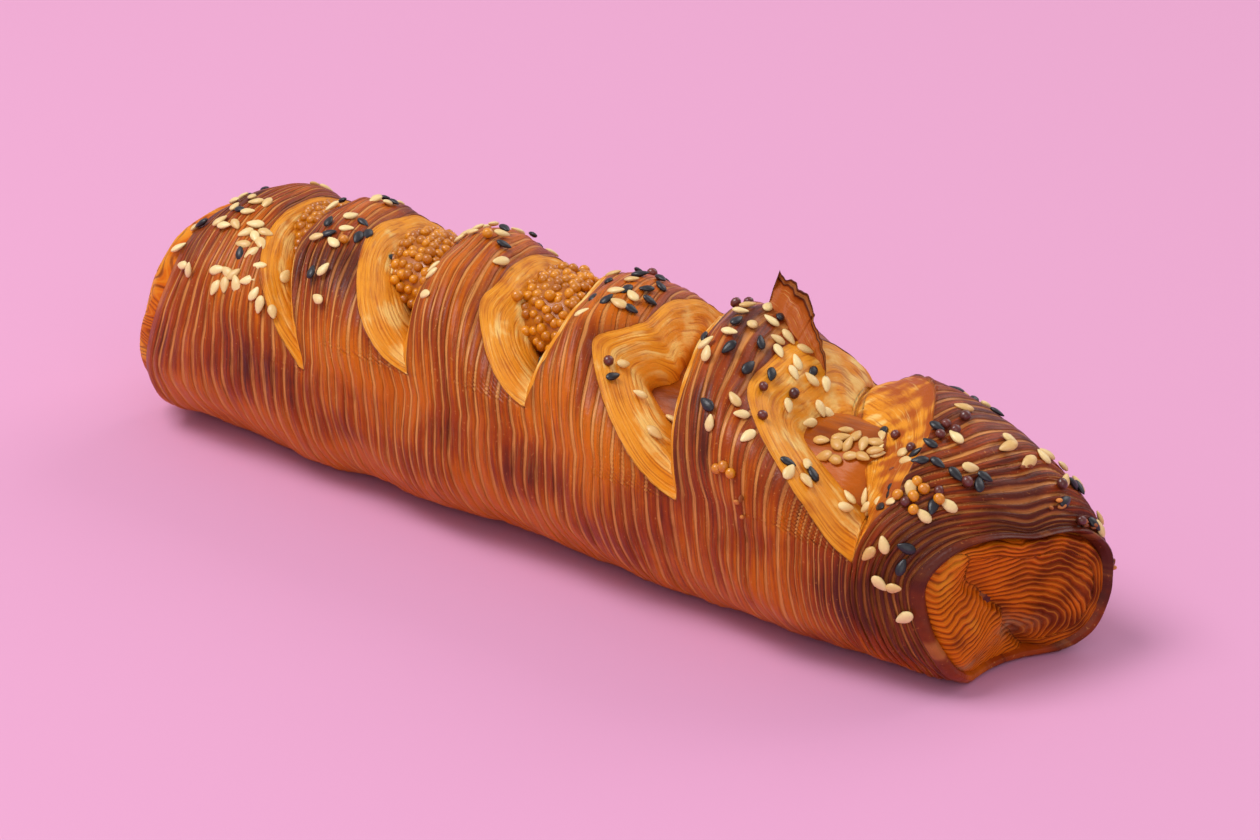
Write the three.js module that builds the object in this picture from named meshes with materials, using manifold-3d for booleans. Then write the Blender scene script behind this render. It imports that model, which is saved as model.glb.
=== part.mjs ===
// A long sausage roll baked in laminated, striped dough.
//
// The dough is one long loaf with five slanting slits across its top. Through the
// slits shows what it is wrapped round: a smooth sausage, and a heap of wholegrain
// mustard along the first half of it. +X runs along the loaf, -Y is its front,
// +Z is up, and the origin is on the flat underside.

import * as THREE from 'three';
import { mergeVertices } from 'three/addons/utils/BufferGeometryUtils.js';
import Module from 'manifold-3d';

const wasm = await Module();
wasm.setup();

// ---------------------------------------------------------------- sizes, mm

// The loaf
const WIDTH = 49.5;
const HEIGHT = 42.6;
const UPPER_ROUNDNESS = 2.25; // 2 is an ellipse, more is squarer
const LOWER_ROUNDNESS = 2.15;
const BASE_FLAT = 1.5; // how much of the round underside is pressed flat
const ARCH = 2.3; // the middle of the loaf stands this much higher
const ARCH_LENGTH = 190;

// Its two ends. The section shrinks like a quarter round, more in height than in width.
const FAR_WIDTH = { start: -73.5, reach: -21.5, shrink: 0.15 };
const FAR_HEIGHT = { start: -73.5, reach: -21.5, shrink: 0.34 };
const NEAR_WIDTH = { start: 48, reach: 48, shrink: 0.42 };
const NEAR_HEIGHT = { start: 51, reach: 41, shrink: 0.54 };
const NEAR_BEND = { from: 20, reach: 75, by: 2 }; // the near end bends to the back
const NEAR_SKEW = 0.24; // and is cut off slantwise
const FAR_RIM = -86.6; // where the wrap ends, with the dough bulging on past it
const NEAR_RIM = 86.7;
const FAR_CAP = [[0.96, -0.4], [0.93, -2.0], [0.86, -4.2], [0.71, -6.2], [0.4, -7.3]];
const NEAR_CAP = [[0.95, 1.0], [0.9, -0.8], [0.72, 0.9], [0.4, 1.6]];

// Ridges of the laminated crust, one to two columns of the mesh, so a little coarser
// than the real ones, which stand 2.4 apart
const RIDGE_PITCH = 3.4;
const RIDGE_HEIGHT = 0.34;
const ROWS = 24;
const ROW_CROWDING = 0.52; // rows stand closer together on the top
const BASE_ROW = 9; // from the middle of the flat base to the rows beside it

// The ridges lean towards -X over the top, but bow towards +X near the end, where their
// feet spread too
const LEAN = 25;
const LEAN_REACH = 32;
const LEAN_FAR = [-95, -48];
const LEAN_NEAR = [40, 64];
const BOW = {
  by: 9.5, over: [-36, 3], under: [52, 73], grow: [48, 80], fade: [79, 92], fadeShare: 0.8,
};
const FOOT = { by: 4.5, down: [-28, -48], under: [-48, -73], grow: [70, 87] };

// Slits. Each starts at a point on the front and ends on the back. It is widest at its
// peak, has a long flank on its left and a lip on its right, and a hole between them.
const NARROWEST = 1.5; // a slit starts this wide
const SLITS = [
  {
    at: -48.2, front: -34.0, peak: -2, back: 30, width: 10.5, bow: -6.5, power: 0.6,
    flank: 4.5, lip: 2, lipRound: 1.5, drop: 5, floor: 8, curl: 0, pinch: 0,
  },
  {
    at: -22.3, front: -28.6, peak: -2, back: 30, width: 18.5, bow: 1, power: 0.5,
    flank: 7, lip: 3, lipRound: 1.5, drop: 6.5, floor: 14, curl: 0, pinch: 0,
  },
  {
    at: 5.5, front: -27.6, peak: -2, back: 30, width: 23, bow: 7.5, power: 0.6,
    flank: 7.5, lip: 5, lipRound: 1.5, drop: 6.5, floor: 14, curl: 0, pinch: 3,
  },
  {
    at: 38.8, front: -33.8, peak: -8, back: 30, width: 21.5, bow: 0, power: 0.6,
    flank: 7, lip: 4, lipRound: 1.5, drop: 6.5, floor: 14, curl: 0, pinch: 8.5,
  },
  {
    at: 75.3, front: -32.4, peak: -8, back: 75, width: 27.5, bow: 0, power: 0.7,
    flank: 5, lip: 13, lipRound: 0.8, drop: 9.2, floor: 14, curl: 0.46, pinch: 1,
  },
];
const CURL_FROM = -19; // from here back, the last slit's right edge curls away
const UNCURL_OVER = [34, 70]; // and past the slit's end it comes back
const CLOSED_FROM = 31; // no slit goes further down the back
const PINCH_OVER = [-14, -4]; // a left edge is pinched in over this stretch
const FLANK_ROUND = 1.5; // over 1, a flank swells before it drops
const FLANK_SHARE = 0.42; // of a narrow slit
const HOLE_WALL = 1.3; // where the hole's wall ends, in flanks from the edge
const BAND_DOMES = [1.6, 1.8, 3.4, 2.6, 4.0, 1.6]; // the bands between the slits swell up
const DOME_REACH = 36;

// The sausage
const SAUSAGE_RADIUS = 12.4;
const SAUSAGE_HEIGHT = 23;
const SAUSAGE_FROM = -80;
const SAUSAGE_TO = 70;
const SAUSAGE_SIDES = 18;
const END_STEPS = 5;

// The mustard lies on the sausage, thin under the bands and heaped in the slits
const MUSTARD_FROM = -78.5;
const MUSTARD_TO = 5;
const MUSTARD_HALF_ANGLE = 0.88; // radians to each side of its crest
const MUSTARD_TURN = 0.26; // its crest is turned towards the back
const MUSTARD_SLANT = 8.5; // the heaps lie slantwise, as the slits do
const MUSTARD_THIN = 1.9;
const MUSTARD_HEAPS = [
  { at: -68, reach: 5, height: 7.6 },
  { at: -41, reach: 7, height: 8.8 },
  { at: -8.5, reach: 8, height: 9.4 },
];
const BEAD = 2.2;
const BEAD_BUMP = 0.45;

const CLEARANCE = 0.3; // between what touches
const SPECK = 0.004; // shorter edges than this are closed up

// Seeds stuck on the crust: patches [x, s, spread in x, spread in s, how many]
const SEED_SIZE = [1.6, 1.0, 0.75];
const SEED_SUNK = 0.25;
const SEED_PATCHES = [
  [-77, -16, 6, 9, 10],
  [-55, -8, 4, 7, 6],
  [-30, -6, 4, 8, 6],
  [8, -7, 4, 9, 6],
  [36, -8, 5, 9, 7],
  [84, -16, 5, 9, 5],
  [80, 4, 5, 10, 3],
  [-74, 18, 7, 9, 3],
  [-20, 16, 4, 8, 2],
  [44, 14, 5, 8, 3],
];

// The raised flake of crust on the last band
const FLAKE = { fromX: 30.5, fromS: 13, toX: 46, toS: 7, height: 7.5, thick: 1.0, root: 2.0 };

// ---------------------------------------------------------------- helpers

const clamp = (value, low, high) => Math.min(high, Math.max(low, value));

function smooth(low, high, value) {
  const t = clamp((value - low) / (high - low), 0, 1);
  return t * t * (3 - 2 * t);
}

const signedPower = (value, power) => Math.sign(value) * Math.abs(value) ** power;

function seededRandom(seed) {
  let state = seed;
  return () => {
    state = (state * 1664525 + 1013904223) % 4294967296;
    return state / 4294967296;
  };
}

// ---------------------------------------------------------------- the loaf's section

function sectionPoint(angle) {
  const roundness = Math.cos(angle) < 0 ? LOWER_ROUNDNESS : UPPER_ROUNDNESS;
  return {
    y: (WIDTH / 2) * signedPower(Math.sin(angle), 2 / roundness),
    z: (HEIGHT / 2) * (1 + signedPower(Math.cos(angle), 2 / roundness)),
  };
}

// Distance round the section from the ridge, for evenly spaced angles up to the base
function measureSection() {
  const steps = 360;
  const table = [0];
  let last = sectionPoint(0);
  for (let i = 1; i <= steps; i += 1) {
    const point = sectionPoint((Math.PI * i) / steps);
    table.push(table[i - 1] + Math.hypot(point.y - last.y, point.z - last.z));
    last = point;
  }
  return table;
}

const ARC = measureSection();
const HALF_GIRTH = ARC[ARC.length - 1];

function angleAt(s) {
  const distance = Math.min(Math.abs(s), HALF_GIRTH);
  let i = 1;
  while (i < ARC.length - 1 && ARC[i] < distance) i += 1;
  const share = (distance - ARC[i - 1]) / (ARC[i] - ARC[i - 1]);
  return (Math.sign(s) * Math.PI * (i - 1 + share)) / (ARC.length - 1);
}

function taper(end, x) {
  const along = clamp((x - end.start) / end.reach, 0, 1);
  return 1 - end.shrink * (1 - Math.sqrt(1 - along ** 2));
}

function plainPoint(x, s, raise) {
  const section = sectionPoint(angleAt(s));
  const wide = taper(FAR_WIDTH, x) * taper(NEAR_WIDTH, x);
  const tall = taper(FAR_HEIGHT, x) * taper(NEAR_HEIGHT, x);
  const arch = 1 + (ARCH / HEIGHT) * Math.cos((Math.PI * x) / ARCH_LENGTH);
  const pressed = Math.max(0, section.z - BASE_FLAT) * (HEIGHT / (HEIGHT - BASE_FLAT));
  const y = section.y * wide;
  const z = pressed * tall * arch;
  const middle = SAUSAGE_HEIGHT * tall;
  const lift = pressed > 0 ? raise / Math.hypot(y, z - middle) : 0;
  const bend = NEAR_BEND.by * clamp((x - NEAR_BEND.from) / NEAR_BEND.reach, 0, 1) ** 2;
  const skew = NEAR_SKEW * y * smooth(60, 92, x);
  return new THREE.Vector3(x + skew, y * (1 + lift) + bend, Math.max(0, z + (z - middle) * lift));
}

// ---------------------------------------------------------------- slits and bands

function lean(column, s) {
  const fadeFar = clamp((column - LEAN_FAR[0]) / (LEAN_FAR[1] - LEAN_FAR[0]), 0, 1);
  const fadeNear = 1 - smooth(...LEAN_NEAR, column);
  const over = clamp((s + LEAN_REACH) / (2 * LEAN_REACH), 0, 1);
  const bowed = smooth(...BOW.grow, column) * (1 - BOW.fadeShare * smooth(...BOW.fade, column));
  const spread = smooth(...FOOT.down, s) * (1 - smooth(...FOOT.under, s));
  const bow = BOW.by * bowed * smooth(...BOW.over, s) * (1 - smooth(...BOW.under, s));
  const foot = FOOT.by * spread * smooth(...FOOT.grow, column);
  return bow + foot - LEAN * fadeFar * fadeNear * over;
}

function slitEdges(slit, s) {
  const reach = s < slit.peak ? slit.peak - slit.front : slit.back - slit.peak;
  const open = Math.max(0, Math.cos((Math.PI / 2) * clamp((s - slit.peak) / reach, -1, 1)));
  const middle = slit.at + slit.bow * open;
  const curled = Math.max(0, s - CURL_FROM) * (1 - smooth(...UNCURL_OVER, s));
  const right = middle - slit.curl * curled;
  const left = middle - slit.width * open ** slit.power + slit.pinch * smooth(...PINCH_OVER, s);
  const width = right - left < NARROWEST || s > CLOSED_FROM ? 0 : right - left;
  return { left: right - width, right, width, open };
}

function depthInSlit(slit, column, s) {
  const { left, right, width, open } = slitEdges(slit, s);
  if (column <= left || column >= right || width < 0.1) return 0;
  const drop = slit.drop * Math.min(1, width / 12);
  const fromLeft = (column - left) / Math.min(slit.flank, FLANK_SHARE * width);
  const fromRight = (right - column) / Math.min(slit.lip, FLANK_SHARE * width);
  const slopes = drop * Math.min(1, fromLeft ** FLANK_ROUND, fromRight ** slit.lipRound);
  const hole = smooth(1, HOLE_WALL, fromLeft) * smooth(1, HOLE_WALL, fromRight);
  return slopes + (slit.floor - slit.drop) * hole * smooth(0.2, 0.5, open);
}

const slitDepth = (column, s) => Math.max(...SLITS.map((slit) => depthInSlit(slit, column, s)));

function bandDome(column, s) {
  const starts = [-92, ...SLITS.map((slit) => slitEdges(slit, s).right)];
  const ends = [...SLITS.map((slit) => slitEdges(slit, s).left), 94];
  const reach = Math.max(0, Math.cos((Math.PI / 2) * clamp(s / DOME_REACH, -1, 1)));
  for (let i = 0; i < starts.length; i += 1) {
    if (column < starts[i] || column > ends[i]) continue;
    const across = (column - starts[i]) / (ends[i] - starts[i]);
    return BAND_DOMES[i] * reach * (1 - (2 * across - 1) ** 2);
  }
  return 0;
}

function crustPoint(column, s, ridge) {
  const depth = slitDepth(column, s);
  const raise = bandDome(column, s) - depth + ridge * (depth > 0 ? 0.3 : 1);
  return plainPoint(column + lean(column, s), s, raise);
}

// ---------------------------------------------------------------- making solids

// A closed skin over rings of points, with a point to close each end
function loft(rings, first, last) {
  const count = rings[0].length;
  const points = [first, ...rings.flat(), last];
  const index = [];
  const place = (ring, i) => 1 + ring * count + (i % count);
  for (let i = 0; i < count; i += 1) {
    index.push(0, place(0, i), place(0, i + 1));
    index.push(points.length - 1, place(rings.length - 1, i + 1), place(rings.length - 1, i));
    for (let ring = 0; ring + 1 < rings.length; ring += 1) {
      index.push(place(ring, i), place(ring + 1, i + 1), place(ring, i + 1));
      index.push(place(ring, i), place(ring + 1, i), place(ring + 1, i + 1));
    }
  }
  const geometry = new THREE.BufferGeometry().setFromPoints(points);
  geometry.setIndex(index);
  return geometry;
}

function toSolid(geometry) {
  const bare = geometry.clone();
  bare.deleteAttribute('normal');
  bare.deleteAttribute('uv');
  const merged = mergeVertices(bare, 1e-4);
  return new wasm.Manifold(new wasm.Mesh({
    numProp: 3,
    vertProperties: new Float32Array(merged.attributes.position.array),
    triVerts: new Uint32Array(merged.index.array),
  }));
}

// The skin of a solid, with the specks that a cut leaves closed up: points nearer than
// a speck become one, and a triangle that this flattens goes, as does a pair back to back
function toGeometry(solid) {
  const mesh = solid.getMesh();
  const raw = new THREE.BufferGeometry();
  raw.setAttribute('position', new THREE.BufferAttribute(mesh.vertProperties, 3));
  raw.setIndex(new THREE.BufferAttribute(mesh.triVerts, 1));
  const merged = mergeVertices(raw, SPECK);
  const corners = merged.index.array;
  const kept = new Map();
  for (let i = 0; i < corners.length; i += 3) {
    const triangle = [corners[i], corners[i + 1], corners[i + 2]];
    if (new Set(triangle).size < 3) continue;
    const key = [...triangle].sort((one, other) => one - other).join();
    if (kept.has(key)) kept.delete(key);
    else kept.set(key, triangle);
  }
  merged.setIndex([...kept.values()].flat());
  return merged;
}

// ---------------------------------------------------------------- the dough

function rowDistances() {
  const rows = [];
  for (let i = 0; i < ROWS; i += 1) {
    const turn = (2 * i) / ROWS - 1;
    rows.push(HALF_GIRTH * turn * (1 - ROW_CROWDING + ROW_CROWDING * turn * turn));
  }
  rows[1] = BASE_ROW - HALF_GIRTH;
  rows[ROWS - 1] = HALF_GIRTH - BASE_ROW;
  return rows;
}

// Columns of the skin at distance s from the ridge: ridges on the bands, and the edges
// and wall of the hole in each slit
function columnsAt(s) {
  const edges = SLITS.map((slit) => slitEdges(slit, s));
  const columns = [];
  let from = FAR_RIM;
  for (let band = 0; band <= SLITS.length; band += 1) {
    const wallFrom = band === 0 ? FAR_RIM : SLITS[band - 1].at;
    const wallTo = band === SLITS.length ? NEAR_RIM : SLITS[band].at;
    const to = band === SLITS.length ? NEAR_RIM : edges[band].left;
    const steps = 2 * Math.round((wallTo - wallFrom) / RIDGE_PITCH);
    for (let i = 0; i <= steps; i += 1) {
      const atEdge = i === 0 || i === steps;
      const ridge = atEdge ? 0 : (RIDGE_HEIGHT / 2) * (i % 2 ? 1 : -1);
      columns.push({ column: from + ((to - from) * i) / steps, ridge });
    }
    if (band === SLITS.length) break;
    const { left, right, width } = edges[band];
    const flank = Math.min(SLITS[band].flank, FLANK_SHARE * width);
    const lip = Math.min(SLITS[band].lip, FLANK_SHARE * width);
    const inner = [0.5, 1, HOLE_WALL].map((share) => left + share * flank);
    const outer = [HOLE_WALL, 1, 0.5].map((share) => right - share * lip);
    for (const column of [...inner, ...outer]) columns.push({ column, ridge: 0 });
    from = right;
  }
  return columns;
}

// Rings that close an end, from near its rim to its middle
function capRings(rim, cap) {
  const middle = rim.reduce((sum, point) => sum.add(point), new THREE.Vector3());
  middle.divideScalar(rim.length);
  const rings = cap.map(([share, out]) => rim.map((point) => {
    const moved = middle.clone().lerp(point, share);
    return moved.set(moved.x + out, moved.y, Math.max(0, moved.z));
  }));
  const tip = middle.clone();
  tip.x += cap[cap.length - 1][1];
  return { rings, tip };
}

function buildCrust() {
  const rows = rowDistances();
  const strips = rows.map((s) => columnsAt(s).map(({ column, ridge }) => crustPoint(column, s, ridge)));
  const rings = strips[0].map((_, i) => strips.map((strip) => strip[i]));
  const far = capRings(rings[0], FAR_CAP);
  const near = capRings(rings[rings.length - 1], NEAR_CAP);
  return loft([...far.rings.reverse(), ...rings, ...near.rings], far.tip, near.tip);
}

function crustFrame(column, s) {
  const point = crustPoint(column, s, 0);
  const along = crustPoint(column + 0.5, s, 0).sub(crustPoint(column - 0.5, s, 0)).normalize();
  const around = crustPoint(column, s + 0.5, 0).sub(crustPoint(column, s - 0.5, 0)).normalize();
  const out = new THREE.Vector3().crossVectors(along, around).normalize();
  return { point, along, out };
}

function columnAt(x, s) {
  let column = x;
  for (let i = 0; i < 12; i += 1) column = x - lean(column, s);
  return column;
}

function seedAt(column, s, spin) {
  const { point, along, out } = crustFrame(column, s);
  const long = along.clone().applyAxisAngle(out, spin);
  const across = new THREE.Vector3().crossVectors(out, long);
  const turn = new THREE.Matrix4().makeBasis(long, across, out);
  const geometry = new THREE.IcosahedronGeometry(1, 0).scale(...SEED_SIZE);
  geometry.applyMatrix4(turn);
  const raised = point.addScaledVector(out, SEED_SUNK);
  return geometry.translate(raised.x, raised.y, raised.z);
}

function buildSeeds() {
  const random = seededRandom(13);
  const seeds = [];
  for (const [x, s, spreadX, spreadS, count] of SEED_PATCHES) {
    for (let placed = 0, tries = 0; placed < count && tries < 200; tries += 1) {
      const turn = 2 * Math.PI * random();
      const reach = Math.sqrt(random());
      const across = s + spreadS * reach * Math.sin(turn);
      const column = columnAt(x + spreadX * reach * Math.cos(turn), across);
      const spin = Math.PI * random();
      const clear = [-2.2, 0, 2.2].every((by) => slitDepth(column + by, across) < 0.05);
      if (!clear || column > NEAR_RIM - 3 || column < FAR_RIM + 3) continue;
      seeds.push(toSolid(seedAt(column, across, spin)));
      placed += 1;
    }
  }
  return wasm.Manifold.union(seeds);
}

function buildFlake() {
  const steps = 6;
  const rings = [];
  for (let i = 0; i <= steps; i += 1) {
    const along = i / steps;
    const x = THREE.MathUtils.lerp(FLAKE.fromX, FLAKE.toX, along);
    const s = THREE.MathUtils.lerp(FLAKE.fromS, FLAKE.toS, along);
    const { point, out } = crustFrame(columnAt(x, s), s);
    const back = new THREE.Vector3(-0.45, 0.55, 0).normalize();
    const height = FLAKE.height * (0.35 + 0.65 * Math.sin(Math.PI * (0.32 + 0.62 * along)));
    const foot = point.clone().addScaledVector(out, -FLAKE.root);
    const bend = point.clone().addScaledVector(out, 0.45 * height);
    const tip = point.clone().addScaledVector(out, 0.95 * height);
    bend.addScaledVector(back, 1.6);
    tip.addScaledVector(back, 0.6);
    const thick = back.clone().multiplyScalar(FLAKE.thick / 2);
    const front = [foot, bend, tip].map((p) => p.clone().sub(thick));
    const rear = [tip, bend, foot].map((p) => p.clone().add(thick));
    rings.push([...front, ...rear]);
  }
  const middle = (ring) => ring[1].clone().add(ring[4]).multiplyScalar(0.5);
  return loft(rings, middle(rings[0]), middle(rings[steps]));
}

// ---------------------------------------------------------------- the filling

function sausageGeometry(grow) {
  const radius = SAUSAGE_RADIUS + grow;
  const profile = [];
  const cornerRadius = 9;
  const endAt = (x, sign) => {
    for (let i = 0; i <= END_STEPS; i += 1) {
      const turn = (Math.PI / 2) * (sign < 0 ? i / END_STEPS : 1 - i / END_STEPS);
      const reach = radius - cornerRadius + cornerRadius * Math.sin(turn);
      const centre = x - sign * cornerRadius;
      profile.push(new THREE.Vector2(reach, centre + sign * cornerRadius * Math.cos(turn)));
    }
  };
  profile.push(new THREE.Vector2(0, SAUSAGE_FROM - grow));
  endAt(SAUSAGE_FROM - grow, -1);
  endAt(SAUSAGE_TO + grow, 1);
  profile.push(new THREE.Vector2(0, SAUSAGE_TO + grow));
  const geometry = new THREE.LatheGeometry(profile, SAUSAGE_SIDES);
  geometry.rotateZ(-Math.PI / 2);
  return geometry.translate(0, 0, SAUSAGE_HEIGHT);
}

function mustardThickness(x, turn, grow) {
  let thickness = MUSTARD_THIN;
  for (const heap of MUSTARD_HEAPS) {
    const along = (x - heap.at + MUSTARD_SLANT * (turn + MUSTARD_TURN)) / (heap.reach + 1.3 * grow);
    const across = turn / (MUSTARD_HALF_ANGLE + 0.08 * grow);
    const swell = Math.exp(-(along ** 4)) * Math.max(0, 1 - Math.abs(across) ** 3);
    thickness = Math.max(thickness, MUSTARD_THIN + (heap.height - MUSTARD_THIN) * swell);
  }
  const from = MUSTARD_FROM - grow;
  const to = MUSTARD_TO + grow;
  const ends = smooth(from, from + 4, x) * (1 - smooth(to - 4, to, x));
  return Math.max(0.7, thickness * ends);
}

function mustardGeometry(grow, bumpy) {
  const random = seededRandom(5);
  const steps = Math.round((MUSTARD_TO - MUSTARD_FROM) / BEAD);
  const across = 12;
  const inner = 6;
  const bore = SAUSAGE_RADIUS + CLEARANCE + 0.15;
  const rings = [];
  const place = (x, radius, turn) => new THREE.Vector3(
    x,
    radius * Math.sin(turn + MUSTARD_TURN),
    SAUSAGE_HEIGHT + radius * Math.cos(turn + MUSTARD_TURN),
  );
  const half = MUSTARD_HALF_ANGLE + grow / bore;
  for (let i = 0; i <= steps; i += 1) {
    const share = i / steps;
    const x = THREE.MathUtils.lerp(MUSTARD_FROM - grow, MUSTARD_TO + grow, share);
    const ring = [];
    for (let j = 0; j <= across; j += 1) {
      const turn = half * ((2 * j) / across - 1);
      const edge = j === 0 || j === across || i === 0 || i === steps;
      const high = (i + j) % 2 ? 1 : -1;
      const bump = bumpy && !edge ? BEAD_BUMP * (high + random() - 0.5) : 0;
      ring.push(place(x, bore + mustardThickness(x, turn, grow) + grow + bump, turn));
    }
    for (let j = 0; j <= inner; j += 1) {
      const turn = half * (1 - (2 * j) / inner);
      ring.push(place(x, bumpy ? bore : bore - 2, turn));
    }
    rings.push(ring);
  }
  const middle = (x) => place(x, bore + (bumpy ? 0.3 : -0.5), 0);
  return loft(rings, middle(MUSTARD_FROM - grow), middle(MUSTARD_TO + grow));
}

// ---------------------------------------------------------------- the parts

function buildPastry() {
  const loaf = toSolid(buildCrust());
  const dressed = loaf.add(toSolid(buildFlake())).add(buildSeeds());
  const bore = toSolid(sausageGeometry(CLEARANCE + 0.15));
  const channel = toSolid(mustardGeometry(CLEARANCE + 1.6 * BEAD_BUMP, false));
  const bodies = dressed.subtract(bore).subtract(channel).decompose();
  bodies.sort((one, other) => other.volume() - one.volume());
  return toGeometry(bodies[0]);
}

function namedMesh(name, geometry, color, roughness) {
  geometry.computeVertexNormals();
  const material = new THREE.MeshStandardMaterial({ color, roughness, metalness: 0 });
  const mesh = new THREE.Mesh(geometry, material);
  mesh.name = name;
  return mesh;
}

const roll = new THREE.Group();
roll.add(namedMesh('pastry', buildPastry(), 0xa55a2a, 0.45));
roll.add(namedMesh('sausage', sausageGeometry(0), 0x8c4a16, 0.3));
roll.add(namedMesh('mustard', mustardGeometry(0, true), 0xbe8219, 0.35));

export default roll;
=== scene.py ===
"""The looks of a long sausage roll: striped laminated dough, slashed over its filling.

Lengths in the classes are in millimetres and angles in radians, unless a name says
otherwise. +X runs along the roll, -Y is its front and +Z is up.
"""

import logging
import math
from dataclasses import dataclass
from enum import Enum

import bmesh
import bpy
import numpy as np
from mathutils import Matrix, Vector


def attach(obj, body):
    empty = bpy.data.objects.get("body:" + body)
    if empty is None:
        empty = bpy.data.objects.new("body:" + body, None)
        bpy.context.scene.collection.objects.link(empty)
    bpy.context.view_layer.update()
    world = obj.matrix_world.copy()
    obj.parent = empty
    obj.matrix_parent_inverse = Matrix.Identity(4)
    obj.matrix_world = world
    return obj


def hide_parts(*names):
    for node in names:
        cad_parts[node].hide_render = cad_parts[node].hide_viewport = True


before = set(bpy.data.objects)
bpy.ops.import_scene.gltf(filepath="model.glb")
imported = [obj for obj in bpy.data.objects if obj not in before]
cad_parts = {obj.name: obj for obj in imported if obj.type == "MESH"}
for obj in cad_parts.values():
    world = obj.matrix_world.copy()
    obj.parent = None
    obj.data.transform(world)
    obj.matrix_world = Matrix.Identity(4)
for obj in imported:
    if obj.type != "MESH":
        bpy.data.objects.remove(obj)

LOG = logging.getLogger("sausage_roll")
MM = 0.001
BODY = "root"
CORE_HEIGHT = 23.0  # height of the sausage's axis, in mm


class Slot(Enum):
    """Names of the material slots."""

    DOUGH = "baked_dough"
    SAUSAGE = "sausage_skin"
    MUSTARD = "mustard_grain"
    WHITE_SESAME = "white_sesame"
    BLACK_SESAME = "black_sesame"
    BROWN_SEED = "brown_mustard_seed"


class Region(Enum):
    """Parts of the dough's skin, as the value of its region attribute."""

    CRUST = 0.0
    CUT = 1.0


# ---------------------------------------------------------------- numbers


def smooth(low: float, high: float, value: np.ndarray) -> np.ndarray:
    """Eases from 0 to 1 between two values.

    Args:
        low: Value up to which it is 0.
        high: Value from which it is 1.
        value: Where it is asked for.

    Returns:
        The share at each value.
    """
    t = np.clip((np.asarray(value, float) - low) / (high - low), 0.0, 1.0)
    return t * t * (3.0 - 2.0 * t)


def signed_power(value: np.ndarray, power: float) -> np.ndarray:
    """Returns value raised to a power, with its sign kept."""
    return np.sign(value) * np.abs(value) ** power


def hump(value: np.ndarray) -> np.ndarray:
    """Returns 1 at 0, falling to 0 at -1 and 1."""
    return np.cos(0.5 * math.pi * np.clip(value, -1.0, 1.0))


def mound(u: np.ndarray, v: np.ndarray, at: tuple, reach: tuple) -> np.ndarray:
    """Returns 1 at a place, falling off to 0 all round it as a bell does."""
    return np.exp(-(((u - at[0]) / reach[0]) ** 2) - ((v - at[1]) / reach[1]) ** 2)


class Ripple:
    """Smooth seeded unevenness over two coordinates, about -1 to 1."""

    def __init__(self, seed: int, size: float, stretch: float = 1.0, waves: int = 9) -> None:
        """Sets the waves up.

        Args:
            seed: Seed of the draw.
            size: Typical distance between two humps.
            stretch: How much longer the humps are along the second coordinate.
            waves: How many waves are added up.
        """
        rng = np.random.default_rng(seed)
        turn = rng.uniform(0.0, 2.0 * math.pi, waves)
        rate = 2.0 * math.pi / size * rng.uniform(0.6, 1.5, waves)
        self.along = rate * np.cos(turn)
        self.across = rate * np.sin(turn) / stretch
        self.start = rng.uniform(0.0, 2.0 * math.pi, waves)
        self.weight = 1.6 / math.sqrt(waves)

    def __call__(self, u: np.ndarray, v: np.ndarray) -> np.ndarray:
        """Gives the unevenness.

        Args:
            u: First coordinate.
            v: Second coordinate.

        Returns:
            The unevenness at each pair.
        """
        u, v = np.broadcast_arrays(np.asarray(u, float), np.asarray(v, float))
        total = np.zeros(u.shape)
        for along, across, start in zip(self.along, self.across, self.start):
            total += np.sin(along * u + across * v + start)
        return total * self.weight * 0.62


# ---------------------------------------------------------------- the loaf's form


@dataclass(frozen=True)
class Slit:
    """One slanting slit: its front point, its width, and what its two sides are like."""

    at: float
    front: float
    peak: float
    back: float
    width: float
    bow: float
    power: float
    flank: float
    lip: float
    drop: float
    floor: float
    curl: float = 0.0
    pinch: float = 0.0
    lip_round: float = 1.5


@dataclass(frozen=True)
class Taper:
    """A section's quarter-round shrinking towards an end."""

    start: float
    reach: float
    shrink: float

    def __call__(self, x: np.ndarray) -> np.ndarray:
        """Returns how much is left of the section at x."""
        along = np.clip((x - self.start) / self.reach, 0.0, 1.0)
        return 1.0 - self.shrink * (1.0 - np.sqrt(1.0 - along**2))


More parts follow.
